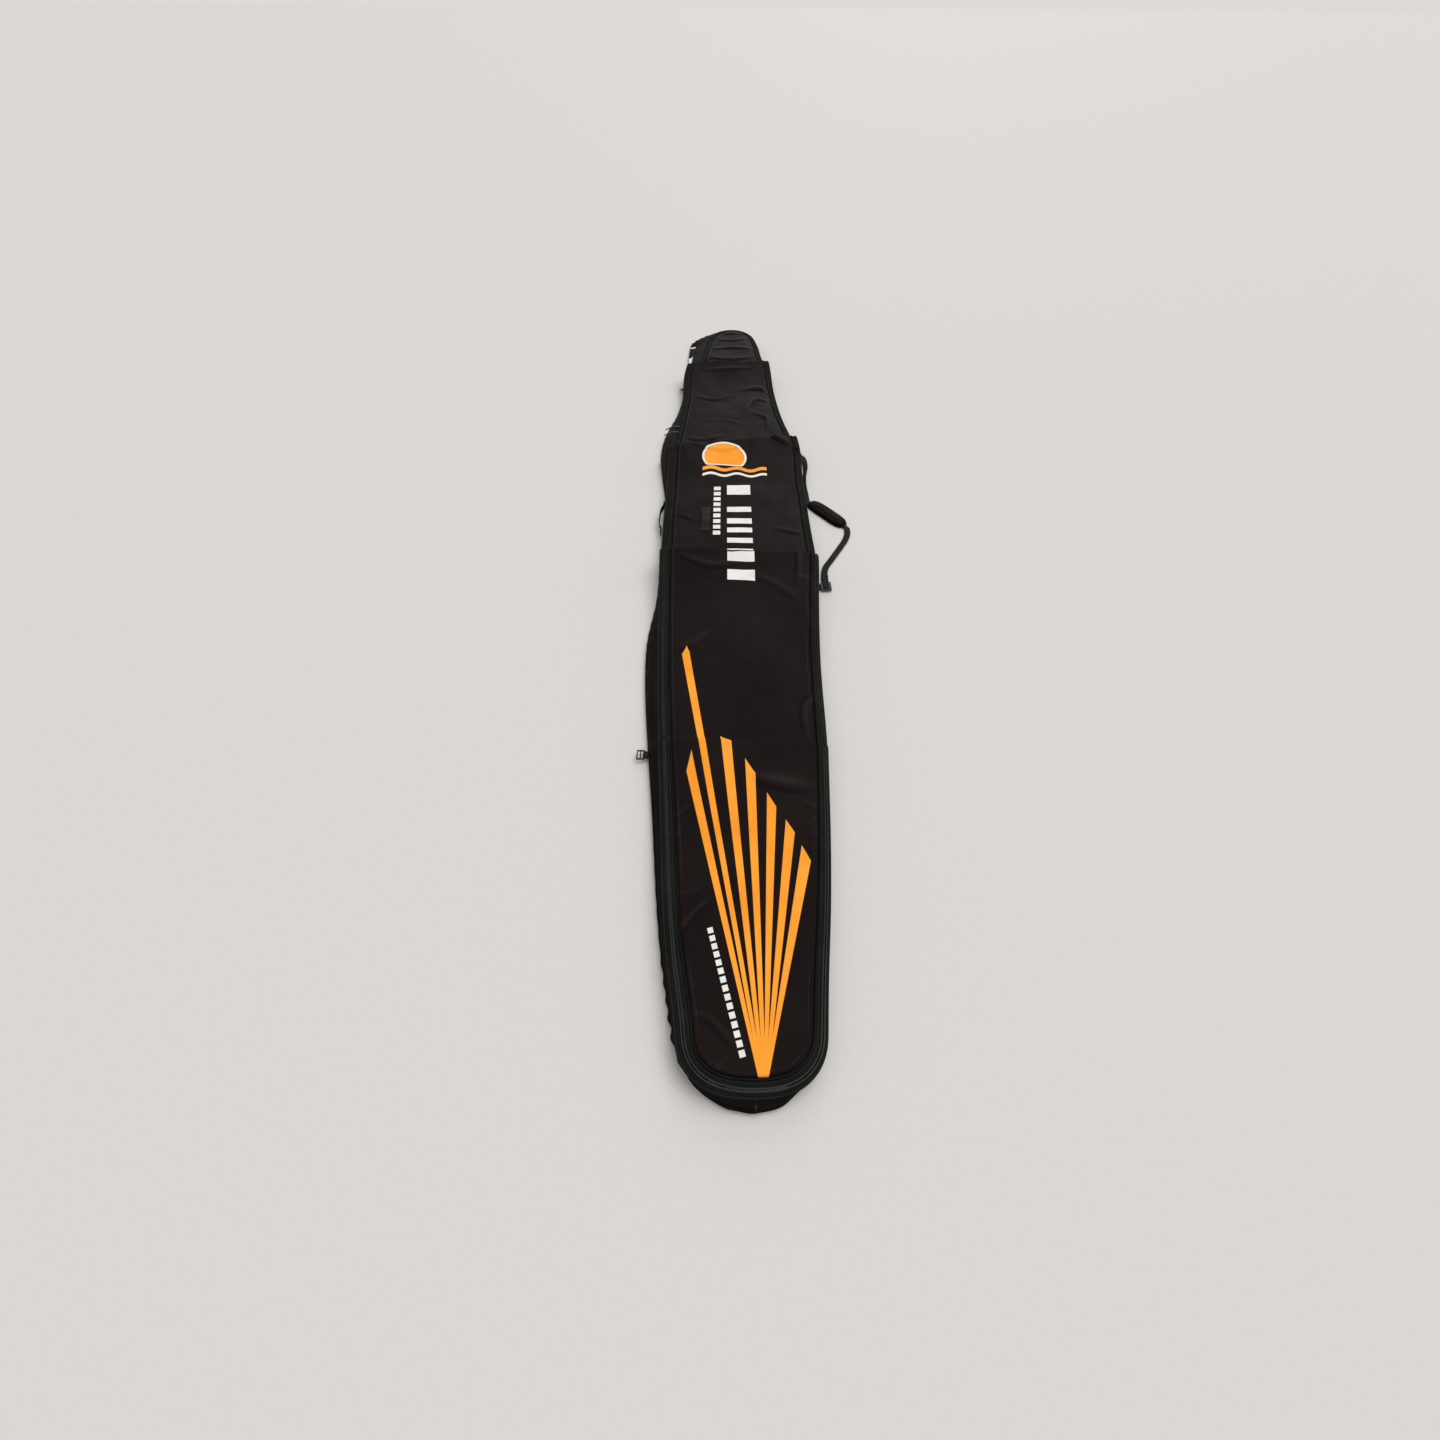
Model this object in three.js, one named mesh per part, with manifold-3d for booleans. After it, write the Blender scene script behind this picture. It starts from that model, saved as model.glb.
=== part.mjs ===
// A padded travel bag for a 14 ft stand-up-paddle race board, lying closed and empty on a floor.
//
// The bag has a flat padded base, a collapsed side wall (the gusset), and a padded lid that a long zip
// joins to the gusset all the way round, apart from a sewn stretch in the middle of the right side.
// Four creases from the way it was folded for storage stand up across the lid.
// A shoulder strap lies beside it on the right, and handles and lashing points are sewn to it.
//
// Frame: millimetres, +Z up, floor at z = 0, the bag's length along Y with the square tail at -Y and the
// nose at +Y. The origin is on the underside of the base, half way along.

import * as THREE from "three";
import { mergeVertices } from "three/addons/utils/BufferGeometryUtils.js";
import Module from "manifold-3d";

const wasm = await Module();
wasm.setup();

// ---------------------------------------------------------------- driving dimensions, mm

const HALF_LENGTH = 2200;
const GAP = 0.4; // clearance kept between neighbouring pieces

// The zip line in plan: where the two halves of the coil meet. Each pair is [Y, X].
const ZIP_RUN = { fromY: 520, fromX: -271, toY: 1100, toX: -241 }; // the straight run the sliders use
const HINGE_LINE_X = 318; // the zip line's X along the sewn stretch on the right
const HINGE_FROM_Y = -450;
const HINGE_TO_Y = 540;
const ZIP_LEFT = [
  [-2170, -110], [-2080, -113], [-1890, -144], [-1490, -185], [-940, -231], [-320, -260], [300, -270],
  ...[0, 0.17, 0.5, 0.83, 1].map((t) => alongZipRun(t)),
  [1430, -231], [1640, -168], [1880, -140], [2170, -80],
];
const ZIP_RIGHT = [
  [-2170, 170], [-1960, 194], [-1770, 220], [-1310, 262], [-940, 279], [-600, 306],
  [HINGE_FROM_Y, HINGE_LINE_X], [-100, HINGE_LINE_X], [250, HINGE_LINE_X], [HINGE_TO_Y, HINGE_LINE_X],
  [660, 298], [860, 266], [1240, 234], [1500, 218], [1690, 184], [1880, 168], [2170, 120],
];
const ZIP_ENDS = {
  tail: { y: -2166, centre: 33, round: 110, power: 2.5 },
  nose: { y: 2165, centre: 16, round: 160, power: 2.2 },
};

// The base panel's own edge.
const BASE_LEFT = [
  [-2190, -108], [-2080, -122], [-1890, -156], [-1490, -200], [-940, -250], [-320, -272], [300, -284],
  [560, -290], [980, -260], [1430, -242], [1800, -244], [2190, -230],
];
const BASE_RIGHT = [
  [-2190, 162], [-1960, 180], [-1770, 204], [-1310, 244], [-940, 262], [-600, 287], [-450, 298], [-100, 300],
  [250, 300], [550, 298], [860, 250], [1240, 217], [1500, 203], [1800, 176], [2190, 160],
];
const BASE_ENDS = {
  tail: { y: -2186, centre: 36, round: 150, power: 2.2 },
  nose: { y: 2186, centre: -10, round: 200, power: 2.2 },
};

// How far the slack gusset spreads out beyond the base, [Y, mm], on the left side.
const LEFT_SPREAD = [
  [-2190, 14], [-1890, 18], [-1490, 26], [-1050, 40], [-820, 38], [-560, 12], [-300, 10], [100, 10],
  [280, 30], [480, 48], [780, 46], [960, 24], [1170, 12], [1430, 12], [1640, 8], [2190, 14],
];
const END_SPREAD = 14;
const RIGHT_SPREAD = 3;

// Storage creases across the lid: a gentle rise towards the nose, then a steep drop behind the crest.
// slant is how far the crest runs towards the nose per unit of X.
const CREASES = [
  { y: -1297, slant: -0.03, height: 14, rise: 200, drop: 30 },
  { y: -384, slant: -0.044, height: 45, rise: 350, drop: 34 },
  { y: 520, slant: 0.19, height: 48, rise: 350, drop: 34 },
  { y: 1487, slant: 0.099, height: 58, rise: 350, drop: 36 },
];
const NOSE_LIFT = 14; // the nose end stays a little fuller than the rest

// Layers, each [bottom, top] in z where no crease lifts the lid.
const BASE_SHELL = [0, 1.5];
const BASE_FOAM = [1.9, 7.9];
const BASE_LINING = [8.3, 9.3];
const LID_LINING = [41.4, 42.4];
const LID_FOAM = [43.0, 49.0];
const LID_SHELL = [49.6, 51.1];
const GUSSET_THICKNESS = 5;

// The zip, measured outwards from the zip line.
const ZIP_Z = 46; // underside of the coil's middle, where the tapes lie
const TAPE = { inner: 4.4, thickness: 0.9, lidWidth: 15.6 };
const COIL = { inner: 1.4, outer: 4.0, below: 1.2, above: 2.4 };
const LID_INSET = 22; // from the zip line to the lid shell's edge
const PIPING = { offset: -18, z: 49.6, radius: 2.3, sides: 6 };
const BINDING = { inner: 0.4, outer: 4.4, bottom: 0.1, top: 1.5 }; // bound edge round the base

const HANDLE_WEB = { width: 38, thickness: 2.2 };
const STRAP_WEB = { width: 25, thickness: 2 };

// ---------------------------------------------------------------- finishes

const finish = (colour, roughness, metalness = 0) =>
  new THREE.MeshStandardMaterial({ color: colour, roughness, metalness });
const FABRIC = finish(0x1b1a1c, 0.62);
const GUSSET_FABRIC = finish(0x161618, 0.7);
const LINING = finish(0x8d9196, 0.45);
const FOAM = finish(0xd9d7d0, 0.95);
const TAPE_FABRIC = finish(0x141416, 0.8);
const NYLON_COIL = finish(0x1f2123, 0.4);
const WEB = finish(0x121214, 0.8);
const PLASTIC = finish(0x17181a, 0.35);
const METAL = finish(0x2a2b2d, 0.35, 0.8);

const bag = new THREE.Group();

function add(name, geometry, material, parent = bag) {
  const mesh = new THREE.Mesh(geometry, material);
  mesh.name = name;
  parent.add(mesh);
  return mesh;
}

// ---------------------------------------------------------------- small helpers

function alongZipRun(t) {
  const { fromY, fromX, toY, toX } = ZIP_RUN;
  return [fromY + (toY - fromY) * t, fromX + (toX - fromX) * t];
}

const lerp = THREE.MathUtils.lerp;
const clamp = THREE.MathUtils.clamp;

// A smooth curve through [position, value] pairs, as a function of position.
function curve(pairs) {
  const spline = new THREE.CubicInterpolant(
    pairs.map((p) => p[0]),
    pairs.map((p) => p[1]),
    1,
  );
  const [first, last] = [pairs[0][0], pairs.at(-1)[0]];
  return (at) => spline.evaluate(clamp(at, first, last))[0];
}

// How much of its full width an outline has at distance d from a rounded end.
function endShare(d, { round, power }) {
  return d >= round ? 1 : (1 - (1 - d / round) ** power) ** (1 / power);
}

// ---------------------------------------------------------------- rows across the bag

// Every panel and loop is built on the same rows, so that layers stay parallel over the creases.
const END_STEPS = [0.5, 8, 28, 70, 140];
const CREASE_STEPS = [-1, -0.55, -0.2, 0];
const MIDDLE_ROWS = [
  -1900, -1720, ...creaseRows(CREASES[0], [-1, -0.4, 0]), -1000,
  ...creaseRows(CREASES[1], CREASE_STEPS), -60, ...creaseRows(CREASES[2], CREASE_STEPS), 760, 960,
  ...creaseRows(CREASES[3], CREASE_STEPS), 1640, 1780, 1900,
];

function creaseRows({ y, rise, drop }, steps) {
  return [...steps.map((s) => y + s * rise), y + drop * 0.4, y + drop];
}

// Rows stay parallel wherever the lid slopes, so its layers stay an even distance apart.
const SLANTS = [
  [-1900, 0], ...CREASES.flatMap(({ y, slant, rise, drop }) => [[y - rise, slant], [y + drop, slant]]),
  [1720, CREASES.at(-1).slant], [1950, 0],
];

function slantAt(row) {
  const next = SLANTS.findIndex(([y]) => y > row);
  if (next <= 0) return 0;
  const [[y0, s0], [y1, s1]] = [SLANTS[next - 1], SLANTS[next]];
  return lerp(s0, s1, (row - y0) / (y1 - y0));
}

// The lift that the creases give the lid on the row that crosses X = 0 at y.
function liftAt(y) {
  const full = NOSE_LIFT * THREE.MathUtils.smoothstep(y, 1523, 1700);
  return CREASES.reduce((lift, { y: crest, height, rise, drop }) => {
    const d = y - crest;
    if (d <= -rise || d >= drop) return lift;
    const share = d < 0 ? (1 + d / rise) ** 1.8 : (1 + Math.cos((Math.PI * d) / drop)) / 2;
    return lift + height * share;
  }, full);
}

// The outline between two edge curves, as matching left and right points on every row.
function outline(leftPairs, rightPairs, ends) {
  const [left, right] = [curve(leftPairs), curve(rightPairs)];
  const rowYs = [
    ...END_STEPS.map((d) => ends.tail.y + d),
    ...MIDDLE_ROWS,
    ...END_STEPS.toReversed().map((d) => ends.nose.y - d),
  ];
  const edgePoint = (edge, row) => {
    const y = row + slantAt(row) * edge(row);
    const share = Math.min(endShare(y - ends.tail.y, ends.tail), endShare(ends.nose.y - y, ends.nose));
    const centre = y < 0 ? ends.tail.centre : ends.nose.centre;
    return new THREE.Vector2(share < 1 ? lerp(centre, edge(y), share) : edge(y), y);
  };
  return rowYs.map((row) => ({ row, left: edgePoint(left, row), right: edgePoint(right, row) }));
}

// The outline as one loop: up the left side from the tail, round the nose, and down the right side.
function loopOf(rows) {
  const points = [
    ...rows.map(({ row, left }) => ({ row, p: left })),
    ...rows.toReversed().map(({ row, right }) => ({ row, p: right })),
  ];
  const count = points.length;
  return points.map(({ row, p }, i) => {
    const along = points[(i + 1) % count].p.clone().sub(points[(i + count - 1) % count].p).normalize();
    return { row, p, normal: new THREE.Vector2(-along.y, along.x), lift: liftAt(row) };
  });
}

const offsetPoint = ({ p, normal }, out) => p.clone().addScaledVector(normal, out);

// ---------------------------------------------------------------- surfaces

// A closed body from stations: each has matching outer and inner lines of points, [x, y, z].
function sheet(stations, closed = false) {
  const columns = stations[0].outer.length;
  const ring = 2 * columns;
  const position = stations.flatMap(({ outer, inner }) => [...outer, ...inner.toReversed()].flat());
  const index = [];
  const quad = (a, b, c, d) => index.push(a, b, c, a, c, d);
  const steps = closed ? stations.length : stations.length - 1;
  for (let i = 0; i < steps; i++) {
    const [here, next] = [i * ring, ((i + 1) % stations.length) * ring];
    for (let k = 0; k < ring; k++) {
      const l = (k + 1) % ring;
      // Both faces split along matching diagonals, so a twisted sheet keeps its thickness.
      if (k < columns) quad(here + k, here + l, next + l, next + k);
      else quad(here + l, next + l, next + k, here + k);
    }
  }
  if (!closed) {
    const last = (stations.length - 1) * ring;
    for (let k = 0; k < columns - 1; k++) {
      quad(ring - 1 - k, ring - 2 - k, k + 1, k);
      quad(last + k, last + k + 1, last + ring - 2 - k, last + ring - 1 - k);
    }
  }
  return facingOut(new THREE.BufferGeometry()
    .setAttribute("position", new THREE.Float32BufferAttribute(position, 3))
    .setIndex(index));
}

// Turns the faces round if they point inwards.
function facingOut(geometry) {
  const p = geometry.getAttribute("position");
  const index = geometry.index.array;
  const [a, b, c] = [new THREE.Vector3(), new THREE.Vector3(), new THREE.Vector3()];
  let volume = 0;
  for (let i = 0; i < index.length; i += 3) {
    a.fromBufferAttribute(p, index[i]);
    b.fromBufferAttribute(p, index[i + 1]);
    c.fromBufferAttribute(p, index[i + 2]);
    volume += a.dot(b.cross(c));
  }
  if (volume < 0) for (let i = 0; i < index.length; i += 3) [index[i], index[i + 1]] = [index[i + 1], index[i]];
  return geometry;
}

// A flat-sided panel between the left and right points of each row, following the creases if lifted.
function panel(rows, [bottom, top], lifted) {
  return sheet(rows.map(({ row, left, right }) => {
    const z = lifted ? liftAt(row) : 0;
    return {
      outer: [[left.x, left.y, top + z], [right.x, right.y, top + z]],
      inner: [[left.x, left.y, bottom + z], [right.x, right.y, bottom + z]],
    };
  }));
}

// Rows drawn in from both sides: along each row, or square to the edge round the two ends.
function insetRows(rows, loop, inset) {
  const count = rows.length;
  return rows.map(({ row, left, right }, i) => {
    if (Math.abs(row) > 1900) {
      return { row, left: offsetPoint(loop[i], -inset), right: offsetPoint(loop[2 * count - 1 - i], -inset) };
    }
    const across = right.clone().sub(left).normalize().multiplyScalar(inset);
    return { row, left: left.clone().add(across), right: right.clone().sub(across) };
  });
}

// A band along part of the loop. section(station) gives its outer and inner lines as [out, z] pairs.
function band(stations, section, closed = false) {
  return sheet(stations.map((station) => {
    const { outer, inner } = section(station);
    const place = ([out, z]) => {
      const p = offsetPoint(station, out);
      return [p.x, p.y, z];
    };
    return { outer: outer.map(place), inner: inner.map(place) };
  }), closed);
}

// A round cord of a given offset and height along the loop.
function cordSection({ offset, radius, sides }, z) {
  const point = (k) => {
    const angle = ((k + 0.5) / sides) * 2 * Math.PI;
    return [offset + radius * Math.cos(angle), z + radius * Math.sin(angle)];
  };
  const half = sides / 2;
  return {
    outer: Array.from({ length: half }, (_, k) => point(k)),
    inner: Array.from({ length: half }, (_, k) => point(sides - 1 - k)),
  };
}

// Moves a line of [out, z] points sideways by a distance, to give a wall its thickness.
function thickened(line, distance) {
  return line.map(([u, z], i) => {
    const [before, after] = [line[Math.max(i - 1, 0)], line[Math.min(i + 1, line.length - 1)]];
    const [du, dz] = [after[0] - before[0], after[1] - before[1]];
    const length = Math.hypot(du, dz);
    return [u - (dz / length) * distance, z + (du / length) * distance];
  });
}

// Points evenly spaced along a smooth route of [x, y, z] points.
function smooth(route, steps) {
  const path = new THREE.CatmullRomCurve3(route.map((p) => new THREE.Vector3(...p)), false, "centripetal");
  return path.getSpacedPoints(steps);
}

// A flat strip of webbing along a line of points on its underside.
function webbingStrip(points, { width, thickness }) {
  return sheet(points.map((p, i) => {
    const along = points[Math.min(i + 1, points.length - 1)].clone().sub(points[Math.max(i - 1, 0)]);
    const side = new THREE.Vector2(-along.y, along.x).normalize().multiplyScalar(width / 2);
    const [a, b] = [[p.x - side.x, p.y - side.y], [p.x + side.x, p.y + side.y]];
    return {
      outer: [[...a, p.z + thickness], [...b, p.z + thickness]],
      inner: [[...a, p.z], [...b, p.z]],
    };
  }));
}

// ---------------------------------------------------------------- joins and cuts

function solid(geometry) {
  const bare = geometry.clone();
  for (const name of Object.keys(bare.attributes)) if (name !== "position") bare.deleteAttribute(name);
  const merged = mergeVertices(bare, 1e-4);
  return new wasm.Manifold(new wasm.Mesh({
    numProp: 3,
    vertProperties: merged.attributes.position.array,
    triVerts: new Uint32Array(merged.index.array),
  }));
}

function geometryOf(manifold) {
  const mesh = manifold.getMesh();
  return new THREE.BufferGeometry()
    .setAttribute("position", new THREE.Float32BufferAttribute(mesh.vertProperties, 3))
    .setIndex([...mesh.triVerts]);
}

// A box from its lowest to its highest corner.
function box([x0, y0, z0], [x1, y1, z1]) {
  return new THREE.BoxGeometry(x1 - x0, y1 - y0, z1 - z0)
    .translate((x0 + x1) / 2, (y0 + y1) / 2, (z0 + z1) / 2);
}

const join = (...parts) => geometryOf(parts.map(solid).reduce((all, part) => all.add(part)));

function roundedRectangle(width, depth, radius) {
  const [w, d] = [width / 2 - radius, depth / 2 - radius];
  return new THREE.Shape()
    .absarc(w, d, radius, 0, Math.PI / 2)
    .absarc(-w, d, radius, Math.PI / 2, Math.PI)
    .absarc(-w, -d, radius, Math.PI, 1.5 * Math.PI)
    .absarc(w, -d, radius, 1.5 * Math.PI, 2 * Math.PI);
}

// A plate of a shape, standing from z = 0 up, less its rectangular holes.
function plate(shape, thickness, holes = []) {
  const blank = new THREE.ExtrudeGeometry(shape, { depth: thickness, bevelEnabled: false, curveSegments: 3 });
  return geometryOf(holes.reduce((left, { width, depth, x = 0, y = 0 }) => {
    const [w, d] = [width / 2, depth / 2];
    return left.subtract(solid(box([x - w, y - d, -1], [x + w, y + d, thickness + 1])));
  }, solid(blank)));
}

// ---------------------------------------------------------------- base

const zipRows = outline(ZIP_LEFT, ZIP_RIGHT, ZIP_ENDS);
const zipLoop = loopOf(zipRows);
const baseRows = outline(BASE_LEFT, BASE_RIGHT, BASE_ENDS);
const baseLoop = loopOf(baseRows);
const rowCount = zipRows.length;

add("base_shell", panel(baseRows, BASE_SHELL, false), FABRIC);
add("base_foam", panel(insetRows(baseRows, baseLoop, 12), BASE_FOAM, false), FOAM);
add("base_lining", panel(insetRows(baseRows, baseLoop, 11), BASE_LINING, false), LINING);

// ---------------------------------------------------------------- gusset

// Where the gusset meets its zip tape: lying flat on the left, turned down under the lid on the right.
const gussetTop = (station) => ({
  out: 15 - 4 * station.normal.x,
  z: 39 - 4 * station.normal.x + station.lift,
});

const leftSpread = curve(LEFT_SPREAD);
function spreadAt({ normal, p }) {
  const side = normal.x < 0 ? leftSpread(p.y) : RIGHT_SPREAD;
  return lerp(END_SPREAD, side, Math.min(1, Math.abs(normal.x) * 1.1));
}

// The slack wall: out from the base's edge, up, and back to the zip tape.
function gussetSection(station) {
  const foot = baseLoop[station.index].p.clone().sub(station.p).dot(station.normal);
  const top = gussetTop(station);
  const spread = foot + spreadAt(station);
  const rise = top.z / 44;
  const line = [
    [foot, 1.9],
    [foot + (spread - foot) * 0.75, 5],
    [spread, 14 * rise],
    [lerp(spread, top.out, 0.3), 26 * rise],
    [lerp(spread, top.out, 0.66), lerp(26 * rise, top.z, 0.62)],
    [top.out, top.z],
  ];
  const inner = thickened(line, GUSSET_THICKNESS);
  inner[0] = [foot - GUSSET_THICKNESS - 1, 1.9];
  const lean = Math.max(0, station.normal.x);
  inner[5] = [top.out - lerp(1, GUSSET_THICKNESS + 1, lean), top.z - lerp(GUSSET_THICKNESS, 0, lean)];
  return { outer: line, inner };
}

const stations = zipLoop.map((station, index) => ({ ...station, index }));

// Part of the loop from one station to another, going up the left side and down the right side.
function stretch(from, to) {
  const count = stations.length;
  return Array.from({ length: ((to - from + count) % count) + 1 }, (_, i) => stations[(from + i) % count]);
}

// Leaves a small gap after a stretch, so that neighbouring pieces meet edge to edge.
function trimmed(part, gap = GAP) {
  const last = part.at(-1);
  const direction = last.p.clone().sub(part.at(-2).p).normalize();
  const moved = { ...last, p: last.p.clone().addScaledVector(direction, -gap) };
  return [...part.slice(0, -1), moved];
}

const CORNER = 5; // rows from the end where an end piece of the gusset stops
const tailToLeft = CORNER;
const leftToNose = rowCount - 1 - CORNER;
const noseToRight = rowCount + CORNER;
const rightToTail = 2 * rowCount - 1 - CORNER;
add("gusset_left", band(trimmed(stretch(tailToLeft, leftToNose)), gussetSection), GUSSET_FABRIC);
add("gusset_nose", band(trimmed(stretch(leftToNose, noseToRight)), gussetSection), GUSSET_FABRIC);
add("gusset_right", band(trimmed(stretch(noseToRight, rightToTail)), gussetSection), GUSSET_FABRIC);
add("gusset_tail", band(trimmed(stretch(rightToTail, tailToLeft)), gussetSection), GUSSET_FABRIC);

add("base_binding", band(stations.map((station) => ({ ...station, ...baseLoop[station.index] })), () => ({
  outer: [[BINDING.inner, BINDING.top], [BINDING.outer, BINDING.top]],
  inner: [[BINDING.inner, BINDING.bottom], [BINDING.outer, BINDING.bottom]],
}), true), TAPE_FABRIC);

// ---------------------------------------------------------------- lid

add("lid_shell", panel(insetRows(zipRows, zipLoop, LID_INSET), LID_SHELL, true), FABRIC);
add("lid_foam", panel(insetRows(zipRows, zipLoop, LID_INSET + 4), LID_FOAM, true), FOAM);
add("lid_lining", panel(insetRows(zipRows, zipLoop, LID_INSET + 3), LID_LINING, true), LINING);
add("lid_piping", band(stations, ({ lift }) => cordSection(PIPING, PIPING.z + lift), true), TAPE_FABRIC);

// ---------------------------------------------------------------- zip and sewn stretch

const isSewn = ({ row, normal }) => normal.x > 0.5 && row > -360 && row < 480;
const sewnFrom = stations.findIndex(isSewn);
const sewnTo = stations.findLastIndex(isSewn);
const zipped = stretch(sewnTo, sewnFrom);
const sewn = trimmed(stretch(sewnFrom, sewnTo), GAP);

// A flat or square strip beside the zip line, between two distances out from it.
const strip = (from, to, bottom, top) => ({ lift }) => ({
  outer: [[from, top + lift], [to, top + lift]],
  inner: [[from, bottom + lift], [to, bottom + lift]],
});

// The tape on the gusset's side tilts to meet the gusset.
function gussetTape(station) {
  const top = gussetTop(station);
  const lower = ZIP_Z + station.lift;
  const meet = [top.out - GAP, top.z + 0.5];
  return {
    outer: [[TAPE.inner, lower + TAPE.thickness], [meet[0], meet[1] + TAPE.thickness]],
    inner: [[TAPE.inner, lower], meet],
  };
}

const zipStart = (part) => trimmed(trimmed(part).toReversed()).toReversed();
const zipStations = zipStart(zipped);
const { below, above } = COIL;
add("zip_tape_gusset", band(zipStations, gussetTape), TAPE_FABRIC);
add("zip_tape_lid", band(zipStations, strip(-4.4 - TAPE.lidWidth, -TAPE.inner, ZIP_Z, ZIP_Z + 0.9)), TAPE_FABRIC);
add("zip_coil_gusset", band(zipStations, strip(COIL.inner, COIL.outer, ZIP_Z - below, ZIP_Z + above)), NYLON_COIL);
add("zip_coil_lid", band(zipStations, strip(-COIL.outer, -COIL.inner, ZIP_Z - below, ZIP_Z + above)), NYLON_COIL);
add("seam_gusset", band(sewn, (station) => {
  const { outer, inner } = gussetTape(station);
  return { outer: [[1, outer[0][1]], outer[1]], inner: [[1, inner[0][1]], inner[1]] };
}), TAPE_FABRIC);
add("seam_lid", band(sewn, strip(-4.4 - TAPE.lidWidth, -1, ZIP_Z, ZIP_Z + 0.9)), TAPE_FABRIC);

// The zip's two ends, each closed by a folded patch over both halves of the coil.
for (const [name, station, along] of [["tail", zipped[0], 1], ["nose", zipped.at(-1), -1]]) {
  const [near, far] = [2, 24].map((d) => station.p.y + along * d).sort((a, b) => a - b);
  const z = ZIP_Z + station.lift + COIL.above + GAP;
  add(`zip_stop_${name}`, box([HINGE_LINE_X - 13, near, z], [HINGE_LINE_X + 4, far, z + 1.2]), TAPE_FABRIC);
}

// ---------------------------------------------------------------- zip sliders

const runStart = new THREE.Vector2(ZIP_RUN.fromX, ZIP_RUN.fromY);
const runEnd = new THREE.Vector2(ZIP_RUN.toX, ZIP_RUN.toY);
const runAngle = runEnd.clone().sub(runStart).angle() - Math.PI / 2;
const SLIDER = { length: 15, inner: -0.6, outer: 6.6, topZ: 49.6, bottomZ: 43.4, plate: 1.3 };
const PULL = { pinU: 3, pinZ: 54, pinRadius: 1, knuckle: 2.3, length: 26, width: 7, thickness: 1.6 };
const GRIP = { width: 6.5, length: 58, thickness: 3.2, bend: -0.9 };

// Built with +X out from the zip line and +Y along it, then placed on the straight run.
const onRun = (geometry, y) => geometry.rotateZ(runAngle + Math.PI)
  .translate(lerp(runStart.x, runEnd.x, (y - runStart.y) / (runEnd.y - runStart.y)), y, 0);

const pinAlongY = (radius, length) => new THREE.CylinderGeometry(radius, radius, length, 10)
  .translate(PULL.pinU, 0, PULL.pinZ);

// The slider rides on the gusset's half of the coil; its post stands between the two halves.
function sliderBody() {
  const { length, inner, outer, topZ, bottomZ, plate: t } = SLIDER;
  const h = length / 2;
  const ear = (y) => box([inner + 1, y - 1, topZ + 0.5], [outer - 1, y + 1, PULL.pinZ + 1.6]);
  return join(
    box([inner, -h, topZ], [outer, h, topZ + t]),
    box([inner, -h, bottomZ - t], [outer, h, bottomZ]),
    box([inner, -h, bottomZ - 0.5], [inner + 1.5, h - 8, topZ + 0.5]),
    box([outer - 1.4, -h, ZIP_Z + 1.6], [outer, h, topZ + 0.5]),
    box([outer - 1.4, -h, bottomZ - 0.5], [outer, h, ZIP_Z - 1.8]),
    ear(-5), ear(5),
    pinAlongY(PULL.pinRadius, 10),
  );
}

// A flat tab with a knuckle round the slider's pin, lying out over the gusset.
function pullTab() {
  const { pinU, pinZ, pinRadius, knuckle, length, width, thickness } = PULL;
  const blade = box([pinU, -width / 2, pinZ - thickness / 2], [pinU + length, width / 2, pinZ + thickness / 2]);
  const body = solid(blade).add(solid(pinAlongY(knuckle, width)));
  return geometryOf(body.subtract(solid(pinAlongY(pinRadius + 0.35, width + 2))));
}

// The doubled cord on the end of the tab, bent towards the tail.
function pullGrip() {
  const start = PULL.pinU + PULL.length + GRIP.width / 2 + GAP;
  return plate(roundedRectangle(GRIP.length, GRIP.width, 3), GRIP.thickness)
    .translate(GRIP.length / 2 - GRIP.width / 2, 0, PULL.pinZ - GRIP.thickness / 2)
    .rotateZ(-GRIP.bend)
    .translate(start, 0, 0);
}

for (const [name, y] of [["tail", 700], ["nose", 762]]) {
  add(`slider_${name}`, onRun(sliderBody(), y), METAL);
  add(`pull_tab_${name}`, onRun(pullTab(), y), METAL);
  add(`pull_grip_${name}`, onRun(pullGrip(), y), PLASTIC);
}

// ---------------------------------------------------------------- lid handle

const LID_TOP = LID_SHELL[1] + GAP;
const LID_HANDLE = { x: -107, tailY: -182, noseY: -8, tab: 30, rise: 7 };
const tabHalf = HANDLE_WEB.width / 2;
for (const [name, from] of [["tail", LID_HANDLE.tailY - 4], ["nose", LID_HANDLE.noseY + 4 - LID_HANDLE.tab]]) {
  const { x, tab } = LID_HANDLE;
  const top = LID_TOP + HANDLE_WEB.thickness;
  add(`lid_handle_tab_${name}`, box([x - tabHalf, from, LID_TOP], [x + tabHalf, from + tab, top]), WEB);
}
const handleRoute = [0, 0.2, 0.5, 0.8, 1].map((t) => [
  LID_HANDLE.x,
  lerp(LID_HANDLE.tailY - 4, LID_HANDLE.noseY + 4, t),
  LID_TOP + HANDLE_WEB.thickness + GAP + LID_HANDLE.rise * Math.sin(Math.PI * t),
]);
add("lid_handle_grip", webbingStrip(smooth(handleRoute, 8), { ...HANDLE_WEB, width: 34 }), WEB);

// ---------------------------------------------------------------- side handle

const SIDE_HANDLE = { x: -291.4, outX: -305, tailY: -142, noseY: 62, z: [8, 38], thickness: 2.2 };

// A strip standing on edge, along a plan line of [x, y] points; its thickness is laid to the left.
function standingStrip(line, [low, high], thickness) {
  return sheet(line.map(([x, y]) => ({
    outer: [[x, y, low], [x, y, high]],
    inner: [[x - thickness, y, low], [x - thickness, y, high]],
  })));
}

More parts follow.
